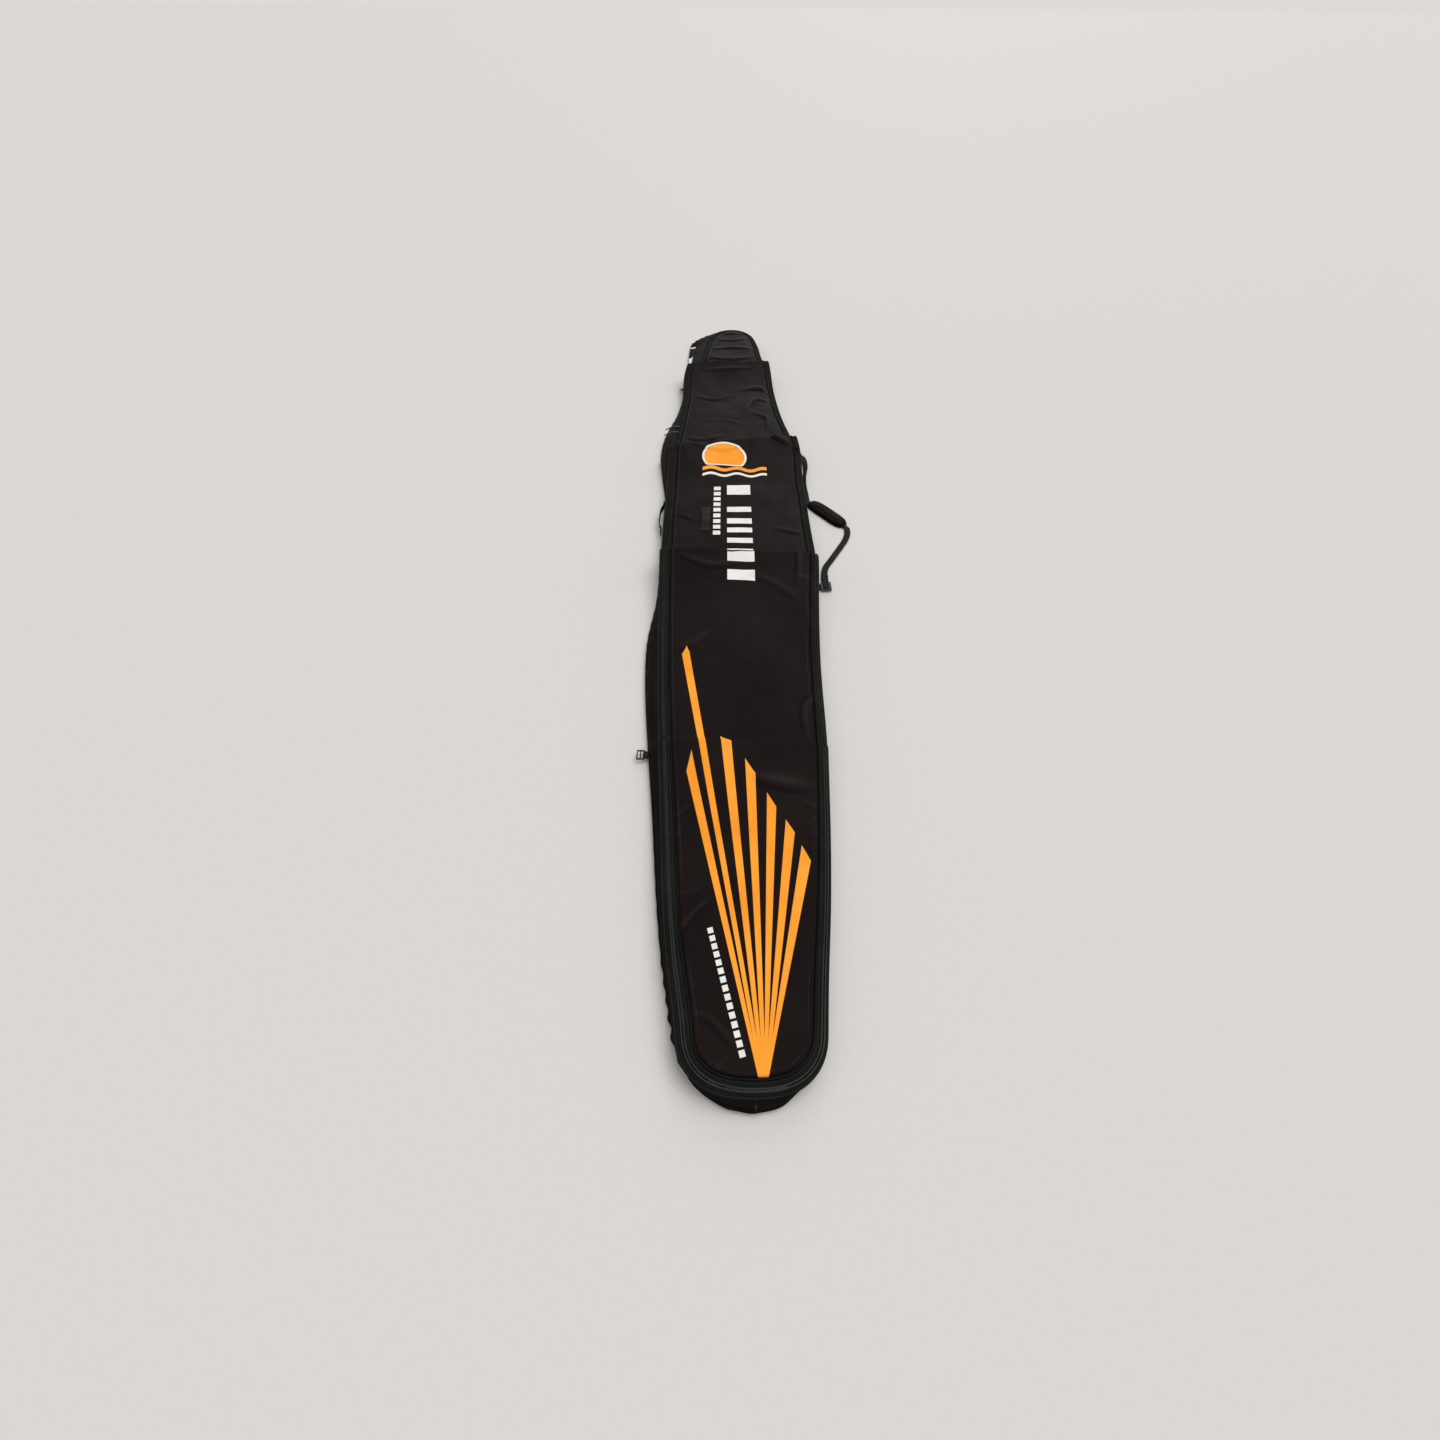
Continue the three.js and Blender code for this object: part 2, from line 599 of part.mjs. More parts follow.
for (const [name, y] of [["tail", SIDE_HANDLE.tailY], ["nose", SIDE_HANDLE.noseY]]) {
  const [from, to] = [y - 15, y + 15];
  const line = [[SIDE_HANDLE.x, from], [SIDE_HANDLE.x, to]];
  add(`side_handle_tab_${name}`, standingStrip(line, SIDE_HANDLE.z, SIDE_HANDLE.thickness), WEB);
}
const sideLine = Array.from({ length: 9 }, (_, i) => {
  const t = i / 8;
  const bulge = Math.min(1, 2.2 * Math.sin(Math.PI * t));
  return [
    lerp(SIDE_HANDLE.x - SIDE_HANDLE.thickness - GAP, SIDE_HANDLE.outX, bulge),
    lerp(SIDE_HANDLE.tailY - 15, SIDE_HANDLE.noseY + 15, t),
  ];
});
add("side_handle_grip", standingStrip(sideLine, [10, 36], SIDE_HANDLE.thickness), WEB);

// ---------------------------------------------------------------- lashing points on the left

const LASH_GAP = 1.2; // leaves the frame's inner bar room to turn

// A short webbing tab out from the gusset, holding a moulded frame that hinges on its end.
function lashingPoint(name, { x, y, z, webLength, frame }) {
  const web = { width: 24, thickness: 2 };
  add(`${name}_web`, box([x - webLength, y - web.width / 2, z], [x, y + web.width / 2, z + web.thickness]), WEB);
  const { depth, width, thickness, bars } = frame;
  const shape = roundedRectangle(depth, width, 3);
  const opening = (depth - 3.2 * (bars + 1)) / bars;
  const holes = Array.from({ length: bars }, (_, i) => ({
    width: opening, depth: width - 8, x: -depth / 2 + 3.2 + opening / 2 + i * (opening + 3.2),
  }));
  const geometry = plate(shape, thickness, holes);
  add(`${name}_frame`, geometry.translate(x - webLength - LASH_GAP - depth / 2, y, z - 0.6), PLASTIC);
}

lashingPoint("tail_lash", {
  x: -253, y: -1307, z: 14, webLength: 8, frame: { depth: 24, width: 34, thickness: 3.2, bars: 2 },
});
lashingPoint("nose_lash", {
  x: -260.5, y: 1320, z: 14, webLength: 10, frame: { depth: 16, width: 30, thickness: 3.2, bars: 1 },
});

// ---------------------------------------------------------------- shoulder strap

const STRAP_Z = 3.2;
const STRAP_NOSE = [
  [337, 575, STRAP_Z], [354, 540, STRAP_Z], [360, 470, STRAP_Z], [356, 400, STRAP_Z], [344, 330, STRAP_Z],
  [338, 250, STRAP_Z], [341, 180, STRAP_Z],
];
const PAD = { x: 418, y: 26, length: 232, width: 68, height: 17, slack: 16 };
const padAlong = new THREE.Vector2(0.575, -0.818);
const padEnd = (d) => [PAD.x + padAlong.x * d, PAD.y + padAlong.y * d, STRAP_Z];
const padReach = PAD.length / 2 + PAD.slack;
const STRAP_TAIL = [
  [490, -122, STRAP_Z], [476, -166, STRAP_Z], [448, -222, STRAP_Z], [404, -304, STRAP_Z],
  [372, -366, STRAP_Z], [361, -430, STRAP_Z], [361, -470, STRAP_Z],
];
add("strap_web", webbingStrip([
  ...smooth([...STRAP_NOSE, padEnd(-padReach)], 18),
  ...smooth([padEnd(padReach), ...STRAP_TAIL], 16),
], STRAP_WEB), WEB);

const padAngle = padAlong.angle() - Math.PI / 2;
const onPad = (geometry) => geometry.rotateZ(padAngle).translate(PAD.x, PAD.y, 0);
const slotHalf = STRAP_WEB.width / 2 + 1.4;
const slotTop = STRAP_Z + STRAP_WEB.thickness + 0.8;

function padBacking() {
  const outer = plate(roundedRectangle(PAD.width - 6, PAD.length - 6, 28), slotTop - 0.6).translate(0, 0, 0.4);
  const slot = box([-slotHalf, -PAD.length, STRAP_Z - 0.8], [slotHalf, PAD.length, slotTop + 1]);
  return geometryOf(solid(outer).subtract(solid(slot)));
}

add("strap_pad_backing", onPad(padBacking()), FABRIC);
add("strap_pad_cushion",
  onPad(plate(roundedRectangle(PAD.width, PAD.length, 30), PAD.height - slotTop).translate(0, 0, slotTop + 0.2)),
  FABRIC);

// The adjuster lies on the strap; its tab is sewn to the gusset.
const ADJUSTER = { x: 361, y: -486, width: 40, length: 54, thickness: 3.4 };
const adjusterShape = roundedRectangle(ADJUSTER.width, ADJUSTER.length, 5);
const adjusterSlots = [-17, 0, 17].map((y) => ({ width: 28, depth: 11, y }));
add("strap_adjuster",
  plate(adjusterShape, ADJUSTER.thickness, adjusterSlots)
    .translate(ADJUSTER.x, ADJUSTER.y, STRAP_Z + STRAP_WEB.thickness + GAP),
  PLASTIC);
const endZ = STRAP_Z + STRAP_WEB.thickness + ADJUSTER.thickness + 2 * GAP;
const freeEnd = smooth([[361, -496, endZ], [361, -460, endZ], [364, -420, endZ]], 4);
add("strap_free_end", webbingStrip(freeEnd, STRAP_WEB), WEB);
for (const [name, y] of [["nose", 575], ["tail", -486]]) {
  add(`strap_anchor_${name}`, box([304.5, y - 19, 2.6], [322, y + 19, 4.8]), WEB);
}

export default bag;
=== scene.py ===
"""A padded travel bag for a 14 ft paddle race board, lying closed and empty on a pale floor.

Lengths in the shape code are millimetres, in the CAD's frame: the blunt tail at -Y, the nose at +Y, the
floor at z = 0 and the shoulder strap on the +X side. They become metres when a piece is made.
"""
import math

import bmesh
import bpy
import numpy as np
from mathutils import Matrix, Vector, kdtree


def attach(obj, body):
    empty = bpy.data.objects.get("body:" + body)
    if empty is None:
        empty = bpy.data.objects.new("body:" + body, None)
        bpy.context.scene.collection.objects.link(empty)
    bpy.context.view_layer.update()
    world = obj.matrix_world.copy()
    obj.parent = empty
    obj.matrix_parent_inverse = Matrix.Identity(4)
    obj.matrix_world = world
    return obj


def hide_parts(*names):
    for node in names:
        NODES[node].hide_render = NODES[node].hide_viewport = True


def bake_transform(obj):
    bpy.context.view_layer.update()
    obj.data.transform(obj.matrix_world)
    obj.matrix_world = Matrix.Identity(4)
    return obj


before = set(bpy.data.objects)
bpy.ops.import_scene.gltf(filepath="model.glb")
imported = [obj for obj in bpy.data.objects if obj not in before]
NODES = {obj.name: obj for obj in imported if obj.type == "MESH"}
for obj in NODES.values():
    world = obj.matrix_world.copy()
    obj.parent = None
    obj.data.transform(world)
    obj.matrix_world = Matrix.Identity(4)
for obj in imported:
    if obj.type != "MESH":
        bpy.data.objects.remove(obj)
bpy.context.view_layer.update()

MM = 0.001

# ------------------------------------------------------------------ driving dimensions, as in the CAD

ZIP_LEFT = [
    (-2170, -110), (-2080, -113), (-1890, -144), (-1490, -185), (-940, -231), (-320, -260), (300, -270),
    (520, -271), (619, -265.9), (810, -256), (1001, -246.1), (1100, -241),
    (1430, -231), (1640, -168), (1880, -140), (2170, -80),
]
ZIP_RIGHT = [
    (-2170, 170), (-1960, 194), (-1770, 220), (-1310, 262), (-940, 279), (-600, 306),
    (-450, 318), (-100, 318), (250, 318), (540, 318),
    (660, 298), (860, 266), (1240, 234), (1500, 218), (1690, 184), (1880, 168), (2170, 120),
]
ZIP_ENDS = [(-2166, 33, 110, 2.5), (2165, 16, 160, 2.2)]  # end's Y, centre's X, rounding, power
BASE_LEFT = [
    (-2190, -108), (-2080, -122), (-1890, -156), (-1490, -200), (-940, -250), (-320, -272), (300, -284),
    (560, -290), (980, -260), (1430, -242), (1800, -244), (2190, -230),
]
BASE_RIGHT = [
    (-2190, 162), (-1960, 180), (-1770, 204), (-1310, 244), (-940, 262), (-600, 287), (-450, 298),
    (-100, 300), (250, 300), (550, 298), (860, 250), (1240, 217), (1500, 203), (1800, 176), (2190, 160),
]
BASE_ENDS = [(-2186, 36, 150, 2.2), (2186, -10, 200, 2.2)]
LEFT_SPREAD = [
    (-2190, 14), (-1890, 18), (-1490, 26), (-1050, 40), (-820, 38), (-560, 12), (-300, 10), (100, 10),
    (280, 30), (480, 48), (780, 46), (960, 24), (1170, 12), (1430, 12), (1640, 8), (2190, 14),
]
END_SPREAD, RIGHT_SPREAD = 14, 3
CREASES = [  # Y, slant, height, rise, drop
    (-1297, -0.03, 14, 200, 30),
    (-384, -0.044, 45, 350, 34),
    (520, 0.19, 48, 350, 34),
    (1487, 0.099, 58, 350, 36),
]
NOSE_LIFT = 14
ZIP_Z = 46
LID_EDGE = -22  # the lid panel's edge, out from the zip line
LID_TOP, LID_UNDER = 51.1, 43.0
SEAM_IN = 11  # the lid's stitched line, in from the panel's edge
SEWN_NOSE_Y, SEWN_TAIL_Y = 510, -364  # the stretch on the right without a zip
TAPER = 300  # how far past each end of that stretch the gusset still rises with the lid

# ------------------------------------------------------------------ lines


def curve(pairs):
    """A smooth curve through (position, value) pairs, as a function of position."""
    at, value = np.array(pairs, float).T
    slope = np.gradient(value, at)

    def evaluate(x):
        x = np.clip(x, at[0], at[-1])
        i = np.clip(np.searchsorted(at, x, side="right") - 1, 0, len(at) - 2)
        span = at[i + 1] - at[i]
        t = (x - at[i]) / span
        start = (1 + 2 * t) * (1 - t) ** 2 * value[i] + t * (1 - t) ** 2 * span * slope[i]
        return start + t * t * (3 - 2 * t) * value[i + 1] + t * t * (t - 1) * span * slope[i + 1]

    return evaluate


def travelled(line):
    """The distance along a line at each of its points."""
    return np.r_[0, np.cumsum(np.linalg.norm(np.diff(line, axis=0), axis=1))]


def even(line, step):
    """The line's points made evenly spaced, about a step apart."""
    length = travelled(line)
    at = np.linspace(0, length[-1], max(2, round(length[-1] / step) + 1))
    return np.column_stack([np.interp(at, length, c) for c in line.T])


def route(points, step):
    """Evenly spaced points on a smooth line through a few points."""
    points = np.array(points, float)
    at = travelled(points)
    fine = np.linspace(0, at[-1], int(at[-1]) + 2)
    return even(np.column_stack([curve(np.column_stack([at, c]))(fine) for c in points.T]), step)


def unit(vectors):
    return vectors / np.maximum(np.linalg.norm(vectors, axis=-1, keepdims=True), 1e-9)


def smoothstep(x, low, high):
    t = np.clip((x - low) / (high - low), 0, 1)
    return t * t * (3 - 2 * t)


class Loop:
    """A closed line in plan, with its outward direction and the distance along it at each point."""

    def __init__(self, points):
        self.p = points
        along = unit(np.roll(points, -1, 0) - np.roll(points, 1, 0))
        self.n = np.column_stack([-along[:, 1], along[:, 0]])
        self.s = travelled(points)

    def offset(self, out):
        return self.p + self.n * np.reshape(out, (-1, 1))


def outline(left, right, ends, step):
    """The loop between two edge curves: up the left side from the tail, then down the right side."""
    left, right = curve(left), curve(right)
    angles = np.linspace(0, np.pi / 2, 60)

    def corner(end, sign, edge, turn):
        y0, centre, rounding, power = end
        share = np.sin(turn) ** (2 / power)
        y = y0 + sign * rounding * (1 - np.cos(turn) ** (2 / power))
        return np.column_stack([centre + (edge(y) - centre) * share, y])

    tail, nose = ends
    sides = np.arange(tail[0] + tail[2] + 3, nose[0] - nose[2] - 3, 3)
    points = np.vstack([
        corner(tail, 1, left, angles), np.column_stack([left(sides), sides]),
        corner(nose, -1, left, angles[::-1]), corner(nose, -1, right, angles[1:]),
        np.column_stack([right(sides), sides])[::-1], corner(tail, 1, right, angles[::-1]),
    ])
    return Loop(even(points, step)[:-1])


SLANTS = [(-1900, 0)]
for crease_y, slant, _, rise, drop in CREASES:
    SLANTS += [(crease_y - rise, slant), (crease_y + drop, slant)]
SLANTS = np.array(SLANTS + [(1720, CREASES[-1][1]), (1950, 0)], float)


def crease_row(x, y):
    """Where the slanted row through a point crosses X = 0."""
    row = y
    for _ in range(4):
        row = y - np.interp(row, SLANTS[:, 0], SLANTS[:, 1]) * x
    return row


def lift(x, y):
    """How far the storage creases lift the lid at a point."""
    row = crease_row(x, y)
    total = NOSE_LIFT * smoothstep(row, 1523, 1700)
    for crest, _, height, rise, drop in CREASES:
        d = row - crest
        before = np.clip(1 + d / rise, 0, 1) ** 1.8
        after = (1 + np.cos(np.pi * np.clip(d / drop, 0, 1))) / 2
        total = total + height * np.where(d < 0, before, after)
    return total


ZIP_STEP = 8  # between stations along the zip line
ZIP = outline(ZIP_LEFT, ZIP_RIGHT, ZIP_ENDS, ZIP_STEP)
NOSE_AT = int(ZIP.p[:, 1].argmax())  # the zip line's station at the nose
BASE = outline(BASE_LEFT, BASE_RIGHT, BASE_ENDS, ZIP_STEP)
FINE_ZIP = outline(ZIP_LEFT, ZIP_RIGHT, ZIP_ENDS, 2)
LID_LINE = Loop(FINE_ZIP.offset(LID_EDGE))
BASE_LINE = outline(BASE_LEFT, BASE_RIGHT, BASE_ENDS, 2)

# ------------------------------------------------------------------ shapes as points and faces


def shape(points, quads, patches=(), cloth=None):
    """Points in mm, four-sided faces, other faces, and each point's place on the cloth."""
    points = np.asarray(points, float).reshape(-1, 3)
    cloth = points[:, :2] if cloth is None else np.asarray(cloth, float).reshape(-1, 2)
    quads = np.asarray(quads, int).reshape(-1, 4)
    return {"points": points, "quads": quads, "patches": list(patches), "cloth": cloth}


def join(*parts):
    starts = np.cumsum([0] + [len(part["points"]) for part in parts])
    return shape(
        np.vstack([part["points"] for part in parts]),
        np.vstack([part["quads"] + start for part, start in zip(parts, starts)]),
        [[i + int(start) for i in face] for part, start in zip(parts, starts) for face in part["patches"]],
        np.vstack([part["cloth"] for part in parts]),
    )


def ring_faces(stations, ring, closed=False):
    """Four-sided faces between neighbouring rings of points."""
    i = np.arange(stations if closed else stations - 1)[:, None]
    k = np.arange(ring)[None]
    here, after = i * ring, ((i + 1) % stations) * ring
    across = (k + 1) % ring
    return np.stack([here + k, here + across, after + across, after + k], axis=-1).reshape(-1, 4)


def on_cloth(along, across):
    """Places on the cloth, from each station's distance along it and each point's distance across."""
    return np.stack(np.broadcast_arrays(along[:, None], across), axis=-1)


def skin(outer, inner, cloth=None, inside=1):
    """A closed body between two matching grids of points, each (stations, columns, 3).

    inside is -1 where the inner face's places on the cloth are on its other side, which has no print.
    """
    stations, columns = outer.shape[:2]
    ring = 2 * columns
    points = np.concatenate([outer, inner[:, ::-1]], axis=1)
    j = np.arange(columns - 1)
    first = np.stack([ring - 1 - j, ring - 2 - j, j + 1, j], axis=-1)
    last = np.stack([j, j + 1, ring - 2 - j, ring - 1 - j], axis=-1) + (stations - 1) * ring
    quads = np.vstack([ring_faces(stations, ring), first, last])
    if cloth is not None:
        cloth = np.concatenate([cloth, cloth[:, ::-1] * [1, inside]], axis=1)
    return shape(points, quads, cloth=cloth)


def tube(rings, closed=False, cloth=None):
    """A closed skin round a line of rings, (stations, points in a ring, 3), capped unless it closes."""
    stations, ring = rings.shape[:2]
    last = (stations - 1) * ring
    caps = [] if closed else [list(range(ring))[::-1], [last + n for n in range(ring)]]
    return shape(rings, ring_faces(stations, ring, closed), caps, cloth)


def out_from(points, normals, out):
    """Plan points at distances out, (stations, columns), from each station's point."""
    return points[:, None, :] + normals[:, None, :] * out[..., None]


def cord(centre, loop, reach, z, around):
    """A closed cord along a loop: each ring's distances out from its centre line, and its heights."""
    heights = np.broadcast_to(z, reach.shape)[..., None]
    rings = np.concatenate([out_from(centre, loop.n, reach), heights], axis=-1)
    return tube(rings, closed=True, cloth=on_cloth(loop.s, around))


def beads(places, along, side, up, rings):
    """The same small solid at many places. rings is (stations, points, 3) as along, side, up."""
    one = tube(rings)
    axes = np.stack([along, side, up], axis=1)
    points = places[:, None, :] + np.einsum("kc,nci->nki", one["points"], axes)
    count = len(one["points"])
    starts = np.arange(len(places)) * count
    quads = (one["quads"][None] + starts[:, None, None]).reshape(-1, 4)
    caps = [[n + int(start) for n in cap] for start in starts for cap in one["patches"]]
    return shape(points, quads, caps)


def bar_rings(stations, sides=5):
    """Rings of a small bar along its first axis, from (along, half width, half height) stations."""
    turn = np.arange(sides) / sides * 2 * np.pi + np.pi / 2
    return np.array([[(a, w * np.cos(t), h * np.sin(t)) for t in turn] for a, w, h in stations])


STITCH_PITCH, BOX_STITCH_PITCH = 5.0, 4.4
STITCH = bar_rings([(-1.9, 0.12, 0.1), (-1.2, 0.42, 0.38), (1.2, 0.42, 0.38), (1.9, 0.12, 0.1)])


def rounded_square(turn, plan):
    """A rounded outline within -1 to 1 each way, at turns round it: squarer as plan grows."""
    a, b = np.cos(turn), np.sin(turn)
    return np.sign(a) * np.abs(a) ** (2 / plan), np.sign(b) * np.abs(b) ** (2 / plan)


def pillow(centre, along, size, plan, rise, low=0.5, count=56):
    """A closed stuffed form: length along a plan direction, width across it, and height."""
    along = unit(np.array([*along, 0.0]))
    side = np.array([-along[1], along[0], 0.0])
    length, width, height = size
    shares = np.array([0.2, 0.4, 0.57, 0.7, 0.8, 0.88, 0.94, 0.98, 1.0])
    turn = np.arange(count) / count * 2 * np.pi
    edge_a, edge_b = rounded_square(turn, plan)
    edge_a, edge_b = edge_a * length / 2, edge_b * width / 2
    rings = []
    for sign, reach in ((1 - low, shares), (-low, shares[-2::-1])):
        for r in reach:
            z = height * sign * (1 - r ** 3) ** (1 / rise)
            plan_ring = np.outer(edge_a * r, along) + np.outer(edge_b * r, side)
            rings.append(np.array(centre) + plan_ring + [0, 0, z])
    return tube(np.array(rings))


RIBBON_COLUMNS = 9  # points across a webbing's face


def ribbon(line, width, thickness, bank=0.0, side=None):
    """Webbing with rounded edges along a line of its middle, turned about the line by bank, in radians."""
    along = unit(np.gradient(line, axis=0))
    up = np.array([0.0, 0.0, 1.0])
    flat = unit(np.cross(up, along)) if side is None else np.broadcast_to(np.array(side, float), line.shape)
    bank = np.broadcast_to(bank, len(line))[:, None]
    over = unit(np.cross(along, flat))
    across = flat * np.cos(bank) + over * np.sin(bank)
    over = unit(np.cross(along, across))
    u = np.sin(np.linspace(-1, 1, RIBBON_COLUMNS) * np.pi / 2)
    half = thickness / 2 * (1 - 0.75 * np.abs(u) ** 7) + 0.14 * thickness * np.cos(u * 3 * np.pi)
    middle = line[:, None, :] + across[:, None, :] * (u * width / 2)[None, :, None]
    push = over[:, None, :] * half[None, :, None]
    return skin(middle + push, middle - push, cloth=on_cloth(travelled(line), u * width / 2))


def stitches(line, up, pitch=STITCH_PITCH):
    """A row of stitches lying on a line of surface points."""
    line = even(np.asarray(line, float), pitch)
    along = unit(np.gradient(line, axis=0))
    up = np.broadcast_to(np.array(up, float), line.shape)
    return beads(line, along, np.cross(up, along), up, STITCH)


def box_stitching(centre, along, side, length, width):
    """A sewn rectangle with a cross in it."""
    centre, along, side = (np.array(v, float) for v in (centre, along, side))
    signs = ((-1, -1), (1, -1), (1, 1), (-1, 1))
    corners = [centre + along * a * length / 2 + side * b * width / 2 for a, b in signs]
    runs = [(0, 1), (1, 2), (2, 3), (3, 0), (0, 2), (1, 3)]
    up = np.cross(along, side)
    return join(*[stitches([corners[a], corners[b]], up, BOX_STITCH_PITCH) for a, b in runs])


# ------------------------------------------------------------------ materials


class Finish:
    """A procedural material, built from a few calls."""

    def __init__(self, name, roughness, specular, **sockets):
        self.material = bpy.data.materials.new(name)
        self.material.use_nodes = True
        self.tree = self.material.node_tree
        self.shader = self.tree.nodes["Principled BSDF"]
        self.shader.inputs["Roughness"].default_value = roughness
        self.shader.inputs["Specular IOR Level"].default_value = specular
        for socket, value in sockets.items():
            self.shader.inputs[socket.replace("_", " ").title()].default_value = value
        self.place = self.node("ShaderNodeTexCoord", out="Object")
        self.normal = None

    def node(self, kind, inputs=None, out=0, **settings):
        made = self.tree.nodes.new(kind)
        for name, value in settings.items():
            setattr(made, name, value)
        for key, value in (inputs or {}).items():
            if isinstance(value, bpy.types.NodeSocket):
                self.tree.links.new(value, made.inputs[key])
            else:
                made.inputs[key].default_value = value
        return made.outputs[out]

    def math(self, operation, a, b=0.0, c=0.0):
        return self.node("ShaderNodeMath", {0: a, 1: b, 2: c}, operation=operation)

    def spread(self, value, low, high, to_low=0.0, to_high=1.0):
        return self.node("ShaderNodeMapRange", {0: value, 1: low, 2: high, 3: to_low, 4: to_high})

    def noise(self, scale, detail=3.0):
        inputs = {"Vector": self.place, "Scale": scale, "Detail": detail}
        return self.node("ShaderNodeTexNoise", inputs)

    def mix(self, share, a, b):
        return self.node("ShaderNodeMix", {0: share, 6: a, 7: b}, out=2, data_type="RGBA")

    def split(self, vector):
        """The vector's first two parts."""
        parts = self.tree.nodes.new("ShaderNodeSeparateXYZ")
        self.tree.links.new(vector, parts.inputs[0])
        return parts.outputs[0], parts.outputs[1]

    def cloth(self):
        """Where a point is on the cloth, in metres along and across it."""
        return self.split(self.node("ShaderNodeAttribute", out="Vector", attribute_name="cloth"))

    def set_plan(self, x, y):
        """Keeps the two coordinates that prints are placed by, with a 1 for each line's own distance."""
        self.plan = self.node("ShaderNodeCombineXYZ", {0: x, 1: y, 2: 1.0})

    def past(self, start, direction):
        """The distance past a start point in a direction, on the plan."""
        line = (*direction, -float(np.dot(direction, start)))
        return self.node(
            "ShaderNodeVectorMath", {0: self.plan, 1: line}, out="Value", operation="DOT_PRODUCT")

    def wave(self, value, pitch):
        return self.math("SINE", self.math("MULTIPLY", value, 2 * math.pi / pitch))

    def bump(self, height, distance, strength=1.0):
        inputs = {"Height": height, "Distance": distance, "Strength": strength}
        if self.normal is not None:
            inputs["Normal"] = self.normal
        self.normal = self.node("ShaderNodeBump", inputs)
        self.tree.links.new(self.normal, self.shader.inputs["Normal"])

    def weave(self, pitch, depth, twill=0.0):
        """A plain weave of yarns a pitch apart, or a twill that steps sideways."""
        along, across = self.cloth()
        if twill:
            along = self.math("MULTIPLY_ADD", across, twill, along)
        over = self.math("MULTIPLY", self.wave(along, pitch), self.wave(across, pitch))
        self.bump(over, depth)
        return over

    def tone(self, dark, light, scale, detail=5.0):
        """Uneven colour from one tone to another, as dust and wear leave it."""
        share = self.spread(self.noise(scale, detail), 0.35, 0.65)
        return self.mix(share, (*dark, 1), (*light, 1))

    def colour(self, value):
        self.tree.links.new(value, self.shader.inputs["Base Color"])

    def rough(self, value):
        self.tree.links.new(value, self.shader.inputs["Roughness"])


def nylon(name, dark, light):
    """Coarse black nylon: its yarns with a painted highlight on their raised tops, fine crumpling and uneven
    colour.
    """
    finish = Finish(name, 0.5, 0.016)
    tone = finish.tone(dark, light, scale=5.0, detail=8.0)
    yarns = finish.weave(0.0011, 0.00009)
    finish.bump(finish.noise(26.0, 5.0), 0.0024, 0.7)
    # Painted highlight: a lighter colour on the weave's raised yarns.
    tone = finish.mix(finish.spread(yarns, -1, 1, 0.0, 0.22), tone, (*[c * 1.7 for c in light], 1))
    finish.rough(finish.spread(finish.noise(14.0, 4.0), 0.3, 0.7, 0.44, 0.56))
    return finish, tone


def convex(finish, corners):
    """Signed distance inside a convex outline of corners in metres, on the plan."""
    corners = np.array(corners, float)
    if np.cross(corners[1] - corners[0], corners[2] - corners[1]) < 0:
        corners = corners[::-1]
    inside = None
    for a, b in zip(corners, np.roll(corners, -1, 0)):
        edge = unit(b - a)
        side = finish.past(a, (-edge[1], edge[0]))
        inside = side if inside is None else finish.math("MINIMUM", inside, side)
    return inside


def printed(finish, insides):
    """1 on a print's shapes and 0 off them, from the distances inside each."""
    total = insides[0]
    for inside in insides[1:]:
        total = finish.math("MAXIMUM", total, inside)
    return finish.spread(total, -0.0003, 0.0004)


def rectangle(x0, x1, y0, y1):
    return [(x0, y0), (x1, y0), (x1, y1), (x0, y1)]


TAIL_Y = -2.2  # the prints' places are measured from here, the bag's tail end
RAY_FOOT, RAY_STEP, RAY_Y = 0.0248, 0.0081, 0.128  # the first ray's foot, each ray's width there, and its Y
OVERLAP = 0.0005  # how far the rays run into the solid tip
RAY_TIPS = [
    [(-0.122, 0.874), (-0.134, 0.807)], [(-0.145, 1.300), (-0.155, 1.326), (-0.169, 1.287)],
    [(-0.008, 0.908), (-0.040, 0.934)], [(0.059, 0.799), (0.031, 0.849)], [(0.112, 0.694), (0.089, 0.739)],
    [(0.156, 0.615), (0.135, 0.654)], [(0.191, 0.535), (0.171, 0.578)],
]
BLOCKS = [
    (1.667, 1.720), (1.760, 1.810), (1.850, 1.890), (1.930, 1.965), (2.005, 2.040), (2.070, 2.110),
    (2.160, 2.200), (2.300, 2.380),
]
# The white flashes' corners: Y in millimetres, and height up the gusset's cloth in metres.
FLASHES = [
    [(1965, 0.020), (1950, 0.016), (1888, 0.066), (1903, 0.071)],
    [(1560, 0.030), (1780, 0.022), (1772, 0.056)],
]


def from_tail(points):
    return [(x, y + TAIL_Y) for x, y in points]


